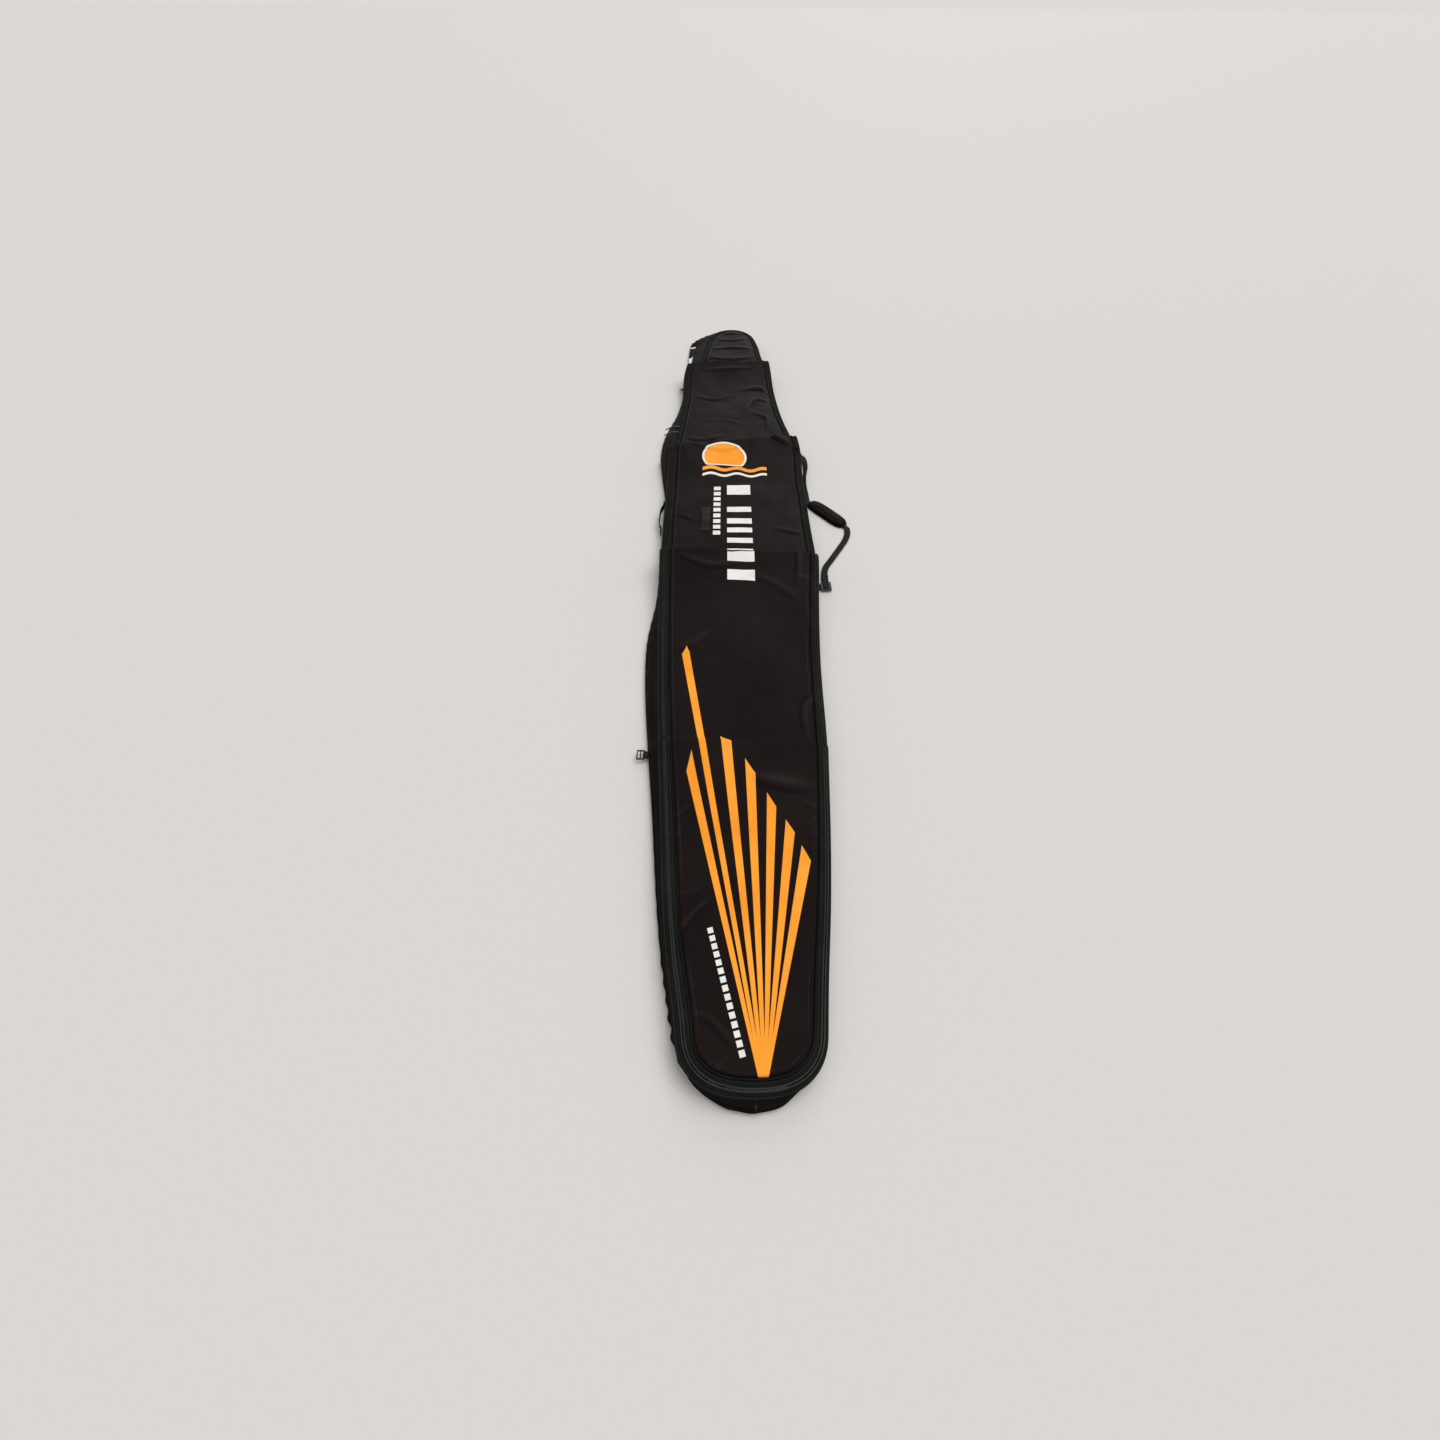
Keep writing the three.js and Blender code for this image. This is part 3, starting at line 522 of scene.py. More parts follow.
def lid_finish():
    """Black nylon with a printed fan of orange rays, plain white bars and a sun over waves, with a painted
    highlight on the wrinkles' ridges and painted shade in their grooves.
    """
    finish, fabric = nylon("lid_nylon", (0.0058, 0.0040, 0.0036), (0.0096, 0.0069, 0.0061))
    ridge = finish.node("ShaderNodeAttribute", out="Fac", attribute_name="ridge")
    # Painted highlight on the wrinkles' ridges, then painted shade in their grooves, both from the fold
    # heights in the ridge attribute.
    fabric = finish.mix(finish.spread(ridge, 0.8, 6.0, 0.0, 0.8), fabric, (0.0175, 0.0142, 0.0130, 1))
    fabric = finish.mix(finish.spread(ridge, -0.6, -4.0, 0.0, 0.85), fabric, (0.0016, 0.0012, 0.0011, 1))
    x, y = finish.split(finish.place)
    finish.set_plan(x, y)

    rays = [convex(finish, from_tail([(0.044, 0.045), (0.060, 0.045), (0.0815, RAY_Y), (RAY_FOOT, RAY_Y)]))]
    for k, tip in enumerate(RAY_TIPS):
        left = RAY_FOOT + k * RAY_STEP
        foot = [(left, RAY_Y - OVERLAP), (left + RAY_STEP, RAY_Y - OVERLAP)]
        rays.append(convex(finish, from_tail([*foot, *tip])))
    bars = [convex(finish, from_tail(rectangle(-0.018, 0.085, *span))) for span in BLOCKS]

    side_strip = convex(finish, from_tail(rectangle(-0.076, -0.046, 1.980, 2.376)))
    dashes = finish.math("SUBTRACT", finish.math("PINGPONG", y, 0.022), 0.0075)
    small = finish.math("MINIMUM", side_strip, dashes)

    start, along = np.array([-0.062, 0.364 + TAIL_Y]), unit(np.array([0.26, -0.966]))
    end = start + along * 15 * 0.019
    across = np.array([-along[1], along[0]]) * 0.0065
    line = convex(finish, [start - across, end - across, end + across, start + across])
    ticks = finish.math("PINGPONG", finish.past(start, along), 0.0095)
    ticks = finish.math("SUBTRACT", ticks, 0.0028)
    line = finish.math("MINIMUM", line, ticks)

    sun_x = finish.math("SUBTRACT", x, -0.030)
    sun_y = finish.math("SUBTRACT", y, 2.600 + TAIL_Y)
    squares = [finish.math("MULTIPLY", part, part) for part in (sun_x, sun_y)]
    reach = finish.math("SQRT", finish.math("ADD", *squares))
    above = finish.math("SUBTRACT", y, 2.545 + TAIL_Y)
    disc = finish.math("MINIMUM", finish.math("SUBTRACT", 0.094, reach), above)
    ring = finish.math("MINIMUM", finish.math("SUBTRACT", 0.104, reach),
                       finish.math("ADD", above, 0.008))
    swell = finish.math("MULTIPLY", finish.wave(x, 0.120), 0.010)
    waves = []
    for level, half in ((2.512, 0.012), (2.468, 0.009)):
        height = finish.math("SUBTRACT", finish.math("SUBTRACT", y, level + TAIL_Y), swell)
        band = finish.math("SUBTRACT", half, finish.math("ABSOLUTE", height))
        limits = convex(finish, rectangle(-0.130, 0.165, 0.2, 0.4))
        waves.append(finish.math("MINIMUM", band, limits))

    orange = printed(finish, [*rays, disc, waves[0]])
    white = printed(finish, [*bars, small, line, ring, waves[1]])
    worn = finish.spread(finish.noise(70.0, 6.0), 0.20, 0.27)
    ink_white = finish.tone((0.60, 0.60, 0.57), (0.69, 0.69, 0.665), scale=20.0)
    ink_orange = finish.tone((0.74, 0.255, 0.024), (0.83, 0.31, 0.036), scale=8.0)
    tone = finish.mix(finish.math("MULTIPLY", white, worn), fabric, ink_white)
    tone = finish.mix(finish.math("MULTIPLY", orange, worn), tone, ink_orange)
    finish.bump(finish.math("MAXIMUM", white, orange), 0.00012)
    finish.colour(tone)
    return finish.material


def gusset_finish():
    """The same nylon, without its satin face, with two plain white flashes near the nose."""
    finish, fabric = nylon("gusset_nylon", (0.0046, 0.0036, 0.0034), (0.0076, 0.0060, 0.0056))
    finish.set_plan(*finish.cloth())
    flashes = []
    for corners in FLASHES:
        places = [(np.interp(y, ZIP.p[:NOSE_AT, 1], ZIP.s[:NOSE_AT]) * MM, height) for y, height in corners]
        flashes.append(convex(finish, places))
    finish.colour(finish.mix(printed(finish, flashes), fabric, (0.64, 0.64, 0.61, 1)))
    return finish.material


def plain_nylon():
    finish, fabric = nylon("pad_nylon", (0.0056, 0.0047, 0.0046), (0.0092, 0.0078, 0.0076))
    finish.colour(fabric)
    return finish.material


def lining_finish():
    finish = Finish("silver_lining", 0.4, 0.55, metallic=0.35)
    along, across = finish.cloth()
    grid = finish.math("MAXIMUM", finish.math("ABSOLUTE", finish.wave(along, 0.010)),
                       finish.math("ABSOLUTE", finish.wave(across, 0.010)))
    threads = finish.spread(grid, 0.975, 1.0)
    tone = finish.tone((0.36, 0.37, 0.38), (0.48, 0.49, 0.50), scale=6.0)
    finish.colour(finish.mix(threads, tone, (0.55, 0.56, 0.57, 1)))
    finish.bump(threads, 0.00012)
    finish.bump(finish.noise(35.0, 6.0), 0.0022, 0.5)
    finish.rough(finish.spread(finish.noise(12.0), 0.3, 0.7, 0.30, 0.5))
    return finish.material


def tape_finish():
    finish = Finish("woven_tape", 0.8, 0.03)
    rib = finish.weave(0.0016, 0.00014, twill=0.6)
    tone = finish.tone((0.0040, 0.0042, 0.0039), (0.0076, 0.0080, 0.0073), scale=12.0)
    # Painted highlight: a lighter colour on the twill's raised ribs.
    finish.colour(finish.mix(finish.spread(rib, -1, 1, 0, 0.4), tone, (0.014, 0.0145, 0.0135, 1)))
    return finish.material


def webbing_finish():
    finish = Finish("ribbed_webbing", 0.75, 0.06)
    along, across = finish.cloth()
    chevron = finish.math("ADD", along, finish.math("PINGPONG", across, 0.004))
    ribs = finish.math("MULTIPLY", finish.wave(chevron, 0.0024), finish.wave(across, 0.0016))
    finish.bump(ribs, 0.0003)
    tone = finish.tone((0.0088, 0.0083, 0.0082), (0.0180, 0.0170, 0.0165), scale=18.0)
    # Painted highlight: a lighter colour on the webbing's raised ribs.
    finish.colour(finish.mix(finish.spread(ribs, -1, 1, 0, 0.35), tone, (0.032, 0.031, 0.030, 1)))
    return finish.material


def moulded(name, dark, light, roughness, grain, depth, **sockets):
    """Moulded or cast parts: a fine grain, with scuffs that catch the light."""
    finish = Finish(name, roughness, 0.22, **sockets)
    finish.bump(finish.noise(grain, 2.0), depth)
    scuffs = finish.spread(finish.noise(180.0, 8.0), 0.58, 0.72)
    finish.colour(finish.mix(scuffs, finish.tone(dark, light, scale=60.0), (*[c * 2.4 for c in light], 1)))
    finish.rough(finish.spread(scuffs, 0, 1, roughness, min(roughness + 0.25, 1)))
    return finish.material


def thread_finish():
    finish = Finish("thread", 0.6, 0.4, sheen_weight=0.2)
    finish.bump(finish.noise(2600.0, 1.0), 0.0001)
    finish.colour(finish.tone((0.011, 0.0108, 0.0106), (0.022, 0.0212, 0.021), scale=90.0))
    return finish.material


LID_NYLON = lid_finish()
GUSSET_NYLON = gusset_finish()
PAD_NYLON = plain_nylon()
LINING = lining_finish()
TAPE = tape_finish()
WEBBING = webbing_finish()
THREAD = thread_finish()
COIL = moulded("nylon_coil", (0.0085, 0.0098, 0.0091), (0.0165, 0.0185, 0.0172),
               roughness=0.42, grain=700.0, depth=0.00005)
PLASTIC = moulded("moulded_acetal", (0.009, 0.009, 0.0095), (0.014, 0.014, 0.0145),
                  roughness=0.36, grain=900.0, depth=0.00006)
CASTING = moulded("painted_casting", (0.010, 0.010, 0.0105), (0.019, 0.019, 0.020),
                  roughness=0.38, grain=500.0, depth=0.00004, metallic=0.1)

# ------------------------------------------------------------------ making pieces

def placed(name, data):
    """A new object in the scene."""
    made = bpy.data.objects.new(name, data)
    bpy.context.scene.collection.objects.link(made)
    return made


def piece(name, form, material, slot, body=None, blend=None, replaces=(), sharp=50):
    """Makes a mesh piece from a shape and fixes it to its body, or, given a blend, leaves it unparented where
    it is.
    """
    mesh = bpy.data.meshes.new(name)
    faces = form["quads"].tolist() + form["patches"]
    mesh.from_pydata((form["points"] * MM).tolist(), [], faces)
    bm = bmesh.new()
    bm.from_mesh(mesh)
    if bm.calc_volume(signed=True) < 0:
        bmesh.ops.reverse_faces(bm, faces=bm.faces)
    bm.to_mesh(mesh)
    bm.free()
    cloth = np.column_stack([form["cloth"] * MM, np.zeros(len(form["cloth"]))])
    places = mesh.attributes.new("cloth", "FLOAT_VECTOR", "POINT")
    places.data.foreach_set("vector", cloth.astype(np.float32).ravel())
    mesh.shade_smooth()
    mesh.set_sharp_from_angle(angle=math.radians(sharp))
    mesh.materials.append(material)
    made = placed(name, mesh)
    if blend:
        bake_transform(made)
    else:
        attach(made, body)
    if replaces:
        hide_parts(*replaces)
    return made


def bevelled(node, name, body, material, width):
    """A CAD part with its edges rounded."""
    mesh = NODES[node].data.copy()
    mesh.name = name
    bm = bmesh.new()
    bm.from_mesh(mesh)
    bmesh.ops.remove_doubles(bm, verts=bm.verts, dist=1e-6)
    bmesh.ops.dissolve_limit(bm, angle_limit=math.radians(1), verts=bm.verts, edges=bm.edges)
    bm.to_mesh(mesh)
    bm.free()
    mesh.materials.clear()
    mesh.materials.append(material)
    made = placed(name, mesh)
    rounding = made.modifiers.new("rounding", "BEVEL")
    rounding.width = width * MM
    rounding.segments = 3
    rounding.limit_method = "ANGLE"
    rounding.angle_limit = math.radians(35)
    mesh.shade_smooth()
    made.modifiers.new("normals", "WEIGHTED_NORMAL").keep_sharp = True
    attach(made, body)
    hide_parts(node)
    return made


# ------------------------------------------------------------------ the camera and the stage

CAMERA_AT = (-0.041, -2.394, 1.45)
CAMERA_DOWN = 49.53  # degrees below level
CAMERA_ROLL = 0.45
CAMERA_LENS = 15.25

camera = placed("camera", bpy.data.cameras.new("camera"))
camera.data.lens = CAMERA_LENS
camera.data.sensor_width = 36
tilt = Matrix.Rotation(math.radians(90 - CAMERA_DOWN), 4, "X")
roll = Matrix.Rotation(math.radians(CAMERA_ROLL), 4, "Z")
camera.matrix_world = Matrix.Translation(CAMERA_AT) @ (tilt @ roll)
bpy.context.scene.camera = camera


def soft_sun(name, towards, power, spread, colour):
    """A broad soft light from far off, shining towards a direction."""
    lamp = bpy.data.lights.new(name, "SUN")
    lamp.energy = power
    lamp.angle = math.radians(spread)
    lamp.color = colour
    placed(name, lamp).rotation_euler = Vector(towards).to_track_quat("-Z", "Y").to_euler()


soft_sun("overhead", towards=(-0.45, -0.25, -1.0), power=2.05, spread=50, colour=(1.0, 0.985, 0.965))
soft_sun("far_windows", towards=(-0.22, -1.0, -0.45), power=0.50, spread=30, colour=(0.93, 0.96, 1.0))
bpy.context.scene.view_settings.view_transform = "Standard"

world = bpy.data.worlds.new("studio")
world.use_nodes = True
world.node_tree.nodes["Background"].inputs["Color"].default_value = (1.0, 0.985, 0.965, 1)
world.node_tree.nodes["Background"].inputs["Strength"].default_value = 0.72
bpy.context.scene.world = world

FLOOR_HALF, FLOOR_Z = 1500.0, -0.0006  # out to the horizon, and just clear of the bag's underside
floor_mesh = bpy.data.meshes.new("floor")
floor_corners = [(x * FLOOR_HALF, y * FLOOR_HALF, 0) for x, y in ((-1, -1), (1, -1), (1, 1), (-1, 1))]
floor_mesh.from_pydata(floor_corners, [], [(0, 1, 2, 3)])
floor = placed("floor", floor_mesh)
floor_finish = Finish("pale_floor", 0.85, 0.15)
floor_finish.colour(floor_finish.tone((0.516, 0.503, 0.486), (0.525, 0.512, 0.495), scale=60.0))
floor_mesh.materials.append(floor_finish.material)
floor.location.z = FLOOR_Z

# ------------------------------------------------------------------ the lid's surface


def tree_of(loop):
    tree = kdtree.KDTree(len(loop.p))
    for i, (x, y) in enumerate(loop.p):
        tree.insert((x, y, 0), i)
    tree.balance()
    return tree


def nearest(tree, x, y):
    """Distance from each point to a loop, and the index of its nearest point on the loop."""
    found = [tree.find((px, py, 0)) for px, py in zip(x.ravel(), y.ravel())]
    distance = np.array([f[2] for f in found]).reshape(x.shape)
    index = np.array([f[1] for f in found]).reshape(x.shape)
    return distance, index


# Sharp wrinkles and soft folds: points on the line, height, width.
FOLDS = [
    ([(-129, -1845), (-106, -1820), (-59, -1770)], 2.6, 9),
    ([(-133, -1844), (-105, -1837)], 1.8, 7),
    ([(-117, -2028), (-71, -2036), (-32, -2069), (-3, -2098)], 2.4, 9),
    ([(-72, -2132), (-43, -2137), (-16, -2115)], 2.2, 8),
    ([(139, -2127), (157, -2105), (172, -2079)], 2.2, 8),
    ([(47, -1422), (123, -1438), (205, -1452)], 3.4, 22),
    ([(178, -1492), (207, -1505), (231, -1527)], 2.2, 9),
    ([(229, -1517), (194, -1545)], 2.0, 8),
    ([(201, -1575), (221, -1616)], 2.0, 8),
    ([(-168, -1558), (-115, -1505)], 2.0, 9),
    ([(-141, -1767), (-78, -1748)], 1.8, 9),
    ([(-147, -1611), (-134, -1560)], 1.8, 9),
    ([(65, 1206), (166, 1221), (222, 1175)], 4.0, 18),
    ([(90, 956), (155, 1088), (203, 1057)], 3.6, 17),
    ([(120, 913), (176, 866), (177, 762)], 3.4, 15),
    ([(155, 586), (225, 540), (291, 496)], 5.0, 14),
    ([(234, -533), (280, -528), (318, -517)], 3.0, 10),
    ([(240, -345), (244, -450), (232, -566)], 3.0, 14),
    ([(179, -170), (250, -192), (320, -205)], 3.0, 13),
    ([(-238, -55), (-160, -108)], 2.4, 11),
    ([(257, -624), (270, -839), (246, -1094), (226, -1115), (210, -1293)], 3.2, 13),
    ([(-200, -420), (-90, -470), (40, -455)], 2.4, 17),
    ([(60, -500), (150, -560), (230, -640)], 2.2, 18),
    ([(-180, 470), (-60, 440), (60, 470)], 2.6, 15),
    ([(-190, 1120), (-80, 1090), (20, 1130)], 2.6, 20),
    ([(-150, 1390), (-20, 1410), (120, 1430)], 2.6, 14),
    ([(-140, 1660), (-20, 1640), (120, 1665)], 3.6, 18),
    ([(-120, 1800), (0, 1822), (125, 1796)], 3.4, 18),
    ([(-90, 1960), (10, 1944), (110, 1972)], 3.0, 16),
    ([(-70, 2060), (20, 2074), (90, 2056)], 2.4, 13),
    ([(-210, -900), (-120, -860), (-60, -790)], 2.0, 18),
    ([(-230, 640), (-130, 610), (-40, 650)], 2.8, 17),
    ([(60, 820), (-40, 870), (-160, 850)], 2.2, 20),
]


def folds(x, y):
    """The height that the wrinkles add: a rounded ridge with a narrow groove along its foot."""
    total = np.zeros_like(x)
    for points, height, width in FOLDS:
        line = route(points, 5)
        along = unit(np.gradient(line, axis=0))
        reach = 3.4 * width
        close = ((x > line[:, 0].min() - reach) & (x < line[:, 0].max() + reach)
                 & (y > line[:, 1].min() - reach) & (y < line[:, 1].max() + reach))
        if not close.any():
            continue
        gap = np.column_stack([x[close], y[close]])[:, None, :] - line[None]
        squared = (gap ** 2).sum(axis=2)
        at = squared.argmin(axis=1)
        offset = gap[np.arange(len(at)), at]
        signed = along[at, 0] * offset[:, 1] - along[at, 1] * offset[:, 0]
        distance = np.sqrt(squared.min(axis=1))
        past_end = np.sqrt(np.maximum(distance ** 2 - signed ** 2, 0))
        fade = np.sin(np.pi * np.clip((at + 1) / (len(line) + 1), 0, 1)) ** 0.5
        fade = fade * np.exp(-(past_end / width) ** 2)
        ridge = np.exp(-((signed - 0.75 * width) / width) ** 2)
        groove = np.exp(-((signed + 0.35 * width) / (0.55 * width)) ** 2)
        total[close] += WRINKLED * height * fade * (ridge - 0.7 * groove)
    return total


def billow(x, y):
    """Slow unevenness of a slack padded panel."""
    slow = 2.2 * np.sin(x / 71 + 0.7 * np.sin(y / 173)) * np.sin(y / 149 + 1.1)
    middling = 1.7 * np.sin(y / 83 + x / 57) * np.sin(y / 310 - 0.4)
    return slow + middling + 0.9 * np.sin(x / 29 + y / 37) * np.sin(y / 211 + x / 90)


LID_TREE = tree_of(LID_LINE)
BASE_TREE = tree_of(BASE_LINE)
WRINKLED = 2.0  # how deep the wrinkles are, for all of them together
ROLL = 6.5  # how the panel's top turns down at its edge


def lid_top(x, y):
    """Height of the lid's upper face."""
    inside, index = nearest(LID_TREE, x, y)
    roll = ROLL - np.sqrt(np.maximum(ROLL ** 2 - (ROLL - np.minimum(inside, ROLL)) ** 2, 0))
    seam = 1.5 * np.exp(-((inside - SEAM_IN) / 1.7) ** 2)
    crown = 1.8 * smoothstep(inside, SEAM_IN, SEAM_IN + 40)
    along = LID_LINE.s[index]
    gathers = np.sin(along / 4.3 + 1.6 * np.sin(along / 61)) * (0.6 + 0.4 * np.sin(along / 143))
    pucker = 0.75 * gathers * np.exp(-((inside - SEAM_IN - 7) / 9) ** 2)
    free = smoothstep(inside, 6, 34)
    row = crease_row(x, y)
    ripple = 0
    for crest, _, height, _, _ in CREASES:
        d = row - crest
        waves = np.sin(x / 17 + 2.2 * np.sin(x / 53 + crest)) * (0.5 + 0.5 * np.sin(x / 97 + crest / 100))
        ripple = ripple + 0.05 * height * waves * np.exp(-((d + 16) / 26) ** 2)
    slack = folds(x, y) + billow(x, y) + ripple
    return LID_TOP + lift(x, y) - roll - seam + crown + pucker + free * slack


def edge_chains(loop):
    """The left and right edges as X at a given Y."""
    nose = int(loop.p[:, 1].argmax())
    left, right = loop.p[: nose + 1], np.vstack([loop.p[nose:], loop.p[:1]])[::-1]
    chains = [(np.maximum.accumulate(side[:, 1]), side[:, 0]) for side in (left, right)]
    return [lambda y, a=ys, b=xs: np.interp(y, a, b) for ys, xs in chains]


END_ROWS = np.array([0.3, 1, 2.2, 4, 6.5, 9.5, 13, 17, 22, 28, 35, 43, 52])


def row_positions(low, high, step):
    """Rows across a panel: close together at its ends and over the creases."""
    rows = list(low + END_ROWS)
    while rows[-1] < high - 60:
        near_crease = any(-75 < rows[-1] - crest < 95 for crest, *_ in CREASES)
        rows.append(rows[-1] + (step * 0.5 if near_crease else step))
    return np.array(rows + list(high - END_ROWS[::-1]))


def grid(loop, step):
    """A grid of plan points inside a loop, closer together beside its edges."""
    left, right = edge_chains(loop)
    ys = row_positions(loop.p[:, 1].min(), loop.p[:, 1].max(), step)
    margin = np.array([0, 0.8, 2, 4, 6.5, 9.2, 11, 12.8, 16, 22, 30]) / 540
    inner = np.linspace(margin[-1], 1 - margin[-1], round(480 / step))[1:-1]
    shares = np.concatenate([margin, inner, 1 - margin[::-1]])
    x = left(ys)[:, None] + (right(ys) - left(ys))[:, None] * shares[None]
    return x, np.broadcast_to(ys[:, None], x.shape).copy()


def on_grid(x, y, z):
    return np.stack([x, y, z], axis=-1)


COARSE_STEP = 14
GRID_STEP = 7
LINING_THICK = 0.9
x, y = grid(LID_LINE, GRID_STEP)
lid_panel = piece(
    "lid_panel", skin(on_grid(x, y, lid_top(x, y)), on_grid(x, y, LID_UNDER + lift(x, y))),
    LID_NYLON, "nylon", body="lid", replaces=["lid_shell", "lid_foam"], sharp=70)
corners = np.array([vertex.co for vertex in lid_panel.data.vertices]) / MM
# The wrinkles' fold heights, kept on the lid's points for its painted highlight on ridges and painted shade
# in grooves.
ridge = folds(corners[:, 0], corners[:, 1])
lid_panel.data.attributes.new("ridge", "FLOAT", "POINT").data.foreach_set("value", ridge.astype(np.float32))

x, y = grid(Loop(FINE_ZIP.offset(LID_EDGE - 3)), COARSE_STEP)
inside, _ = nearest(LID_TREE, x, y)
slack = (1.3 + np.sin(x / 31 + y / 67) * np.sin(y / 43 - x / 90)) * smoothstep(inside, 5, 40)
under = 41.4 + lift(x, y) - slack
lid_lining = piece(
    "lid_lining_cloth", skin(on_grid(x, y, under + LINING_THICK), on_grid(x, y, under)),
    LINING, "lining", body="lid", replaces=["lid_lining"])

# ------------------------------------------------------------------ the base

BASE_EDGE_TOP, BASE_TOP = 1.5, 7.9
x, y = grid(BASE_LINE, COARSE_STEP)
inside, _ = nearest(BASE_TREE, x, y)
top = BASE_EDGE_TOP + (BASE_TOP - BASE_EDGE_TOP) * smoothstep(inside, 7, 17)
top -= 0.25 * (1 + np.sin(x / 47) * np.sin(y / 61)) * smoothstep(inside, 17, 40)
base_panel = piece(
    "base_panel", skin(on_grid(x, y, top), on_grid(x, y, 0.25 * smoothstep(-inside, -4, 0))),
    GUSSET_NYLON, "nylon", body="base", replaces=["base_shell", "base_foam"], sharp=70)

x, y = grid(Loop(BASE_LINE.offset(-11)), COARSE_STEP)
inside, _ = nearest(BASE_TREE, x, y)
slack = (1.2 + np.sin(x / 37 + y / 59) * np.sin(y / 41 - x / 80)) * smoothstep(inside, 16, 50)
top = 9.2 + slack - 0.8 * smoothstep(-inside, -16, -11)
base_lining = piece(
    "base_lining_cloth", skin(on_grid(x, y, top), on_grid(x, y, top - LINING_THICK)),
    LINING, "lining", body="base", replaces=["base_lining"])

turn = np.arange(8) / 8 * 2 * np.pi
reach = 2.0 * np.cos(turn) + 0.12 * np.sin(BASE.s / 9)[:, None]
bound_edge = cord(BASE.offset(2.4), BASE, reach, 0.95 + 0.8 * np.sin(turn), turn * 2)
piece("base_bound_edge", bound_edge, TAPE, "tape", body="base", replaces=["base_binding"])

# ------------------------------------------------------------------ spans of the zip line

COUNT = len(ZIP.p)


def on_left(limit):
    return int(np.argmax(ZIP.p[: NOSE_AT + 1, 1] > limit))


def on_right(limit):
    return NOSE_AT + int(np.argmax(ZIP.p[NOSE_AT:, 1] < limit))


TAIL_LEFT, NOSE_LEFT = on_left(-2040), on_left(2000)
NOSE_RIGHT, TAIL_RIGHT = on_right(2000), on_right(-2040)
RISE_NOSE, SEWN_NOSE = on_right(SEWN_NOSE_Y + TAPER), on_right(SEWN_NOSE_Y)
SEWN_TAIL, RISE_TAIL = on_right(SEWN_TAIL_Y), on_right(SEWN_TAIL_Y - TAPER)


def span(start, end):
    """The stations from one to another, going round past the tail if need be."""
    return np.arange(start, end + 1 + (COUNT if end < start else 0)) % COUNT


def sewn_blend(y, tilt):
    """From the base at the foot of the wall to the lid at its top, fading away along Y by tilt."""
    foot_z, top_z = 0.005, 0.046
    rise = 1 / (top_z - foot_z)
    fade = tilt / (TAPER * MM)
    scale = 1 / (rise ** 2 + fade ** 2)
    start = Vector((0.318, y * MM, foot_z))
    return "base", "lid", tuple(start), tuple(start + Vector((0, fade * scale, rise * scale)))


BLENDS = {
    "sewn": sewn_blend(0, 0),
    "rise_nose": sewn_blend(ZIP.p[SEWN_NOSE, 1], -1),
    "rise_tail": sewn_blend(ZIP.p[SEWN_TAIL, 1], 1),
}


def fixing(mode):
    return {"blend": BLENDS[mode]} if mode in BLENDS else {"body": mode}


def band(stations, out, z, thickness):
    """A thin strip along the zip line. out and z are (stations, columns)."""
    plan = out_from(ZIP.p[stations], ZIP.n[stations], out)
    upper = np.concatenate([plan, (z + thickness)[..., None]], axis=-1)
    lower = upper - np.array([0, 0, thickness])
    return skin(upper, lower, cloth=on_cloth(np.arange(len(stations)) * float(ZIP_STEP), out))


# ------------------------------------------------------------------ the gusset

LIFT = lift(ZIP.p[:, 0], ZIP.p[:, 1])


def straight_out():
    """How far the base's edge is from each station, straight out from the zip line."""
    gap = BASE_LINE.p[None] - ZIP.p[:, None]
    out = (gap * ZIP.n[:, None]).sum(axis=2)
    aside = gap[..., 0] * ZIP.n[:, None, 1] - gap[..., 1] * ZIP.n[:, None, 0]
    crossing = aside * np.roll(aside, -1, axis=1) <= 0
    first = np.where(crossing, np.abs(out), np.inf).argmin(axis=1)
    return out[np.arange(COUNT), first]


FOOT = straight_out()
SMOOTHING = np.hanning(15) / np.hanning(15).sum()
FOOT = np.convolve(np.r_[FOOT[-7:], FOOT, FOOT[:7]], SMOOTHING, mode="valid")
SIDE = np.where(ZIP.n[:, 0] < 0, curve(LEFT_SPREAD)(ZIP.p[:, 1]), RIGHT_SPREAD)
SPREAD = FOOT + END_SPREAD + (SIDE - END_SPREAD) * np.minimum(1, np.abs(ZIP.n[:, 0]) * 1.1)
TOP_OUT = 15 - 4 * ZIP.n[:, 0]
TOP_Z = 39 - 4 * ZIP.n[:, 0] + LIFT


def gusset_line(columns):
    """The slack wall's outer face at every station: from the base's edge out, up and back to the zip."""
    rise = TOP_Z / 44  # the wall's points are set for a top at 44 mm

    def lerp(a, b, t):
        return a + (b - a) * t

    control = np.array([
        [FOOT, np.full(COUNT, 1.9)], [lerp(FOOT, SPREAD, 0.75), np.full(COUNT, 5.0)], [SPREAD, 14 * rise],
        [lerp(SPREAD, TOP_OUT, 0.3), 26 * rise],
        [lerp(SPREAD, TOP_OUT, 0.66), lerp(26 * rise, TOP_Z, 0.62)], [TOP_OUT, TOP_Z],
    ]).transpose(2, 0, 1)
    before, after = 2 * control[:, :1] - control[:, 1:2], 2 * control[:, -1:] - control[:, -2:-1]
    padded = np.concatenate([before, control, after], axis=1)
    v = np.linspace(0, 5, columns)
    i = np.minimum(v.astype(int), 4)
    t = (v - i)[None, :, None]
    a, b, c, d = (padded[:, i + k] for k in range(4))
    square, cube = 2 * a - 5 * b + 4 * c - d, 3 * b - a - 3 * c + d
    line = 0.5 * (2 * b + (c - a) * t + square * t ** 2 + cube * t ** 3)
    return line, v / 5


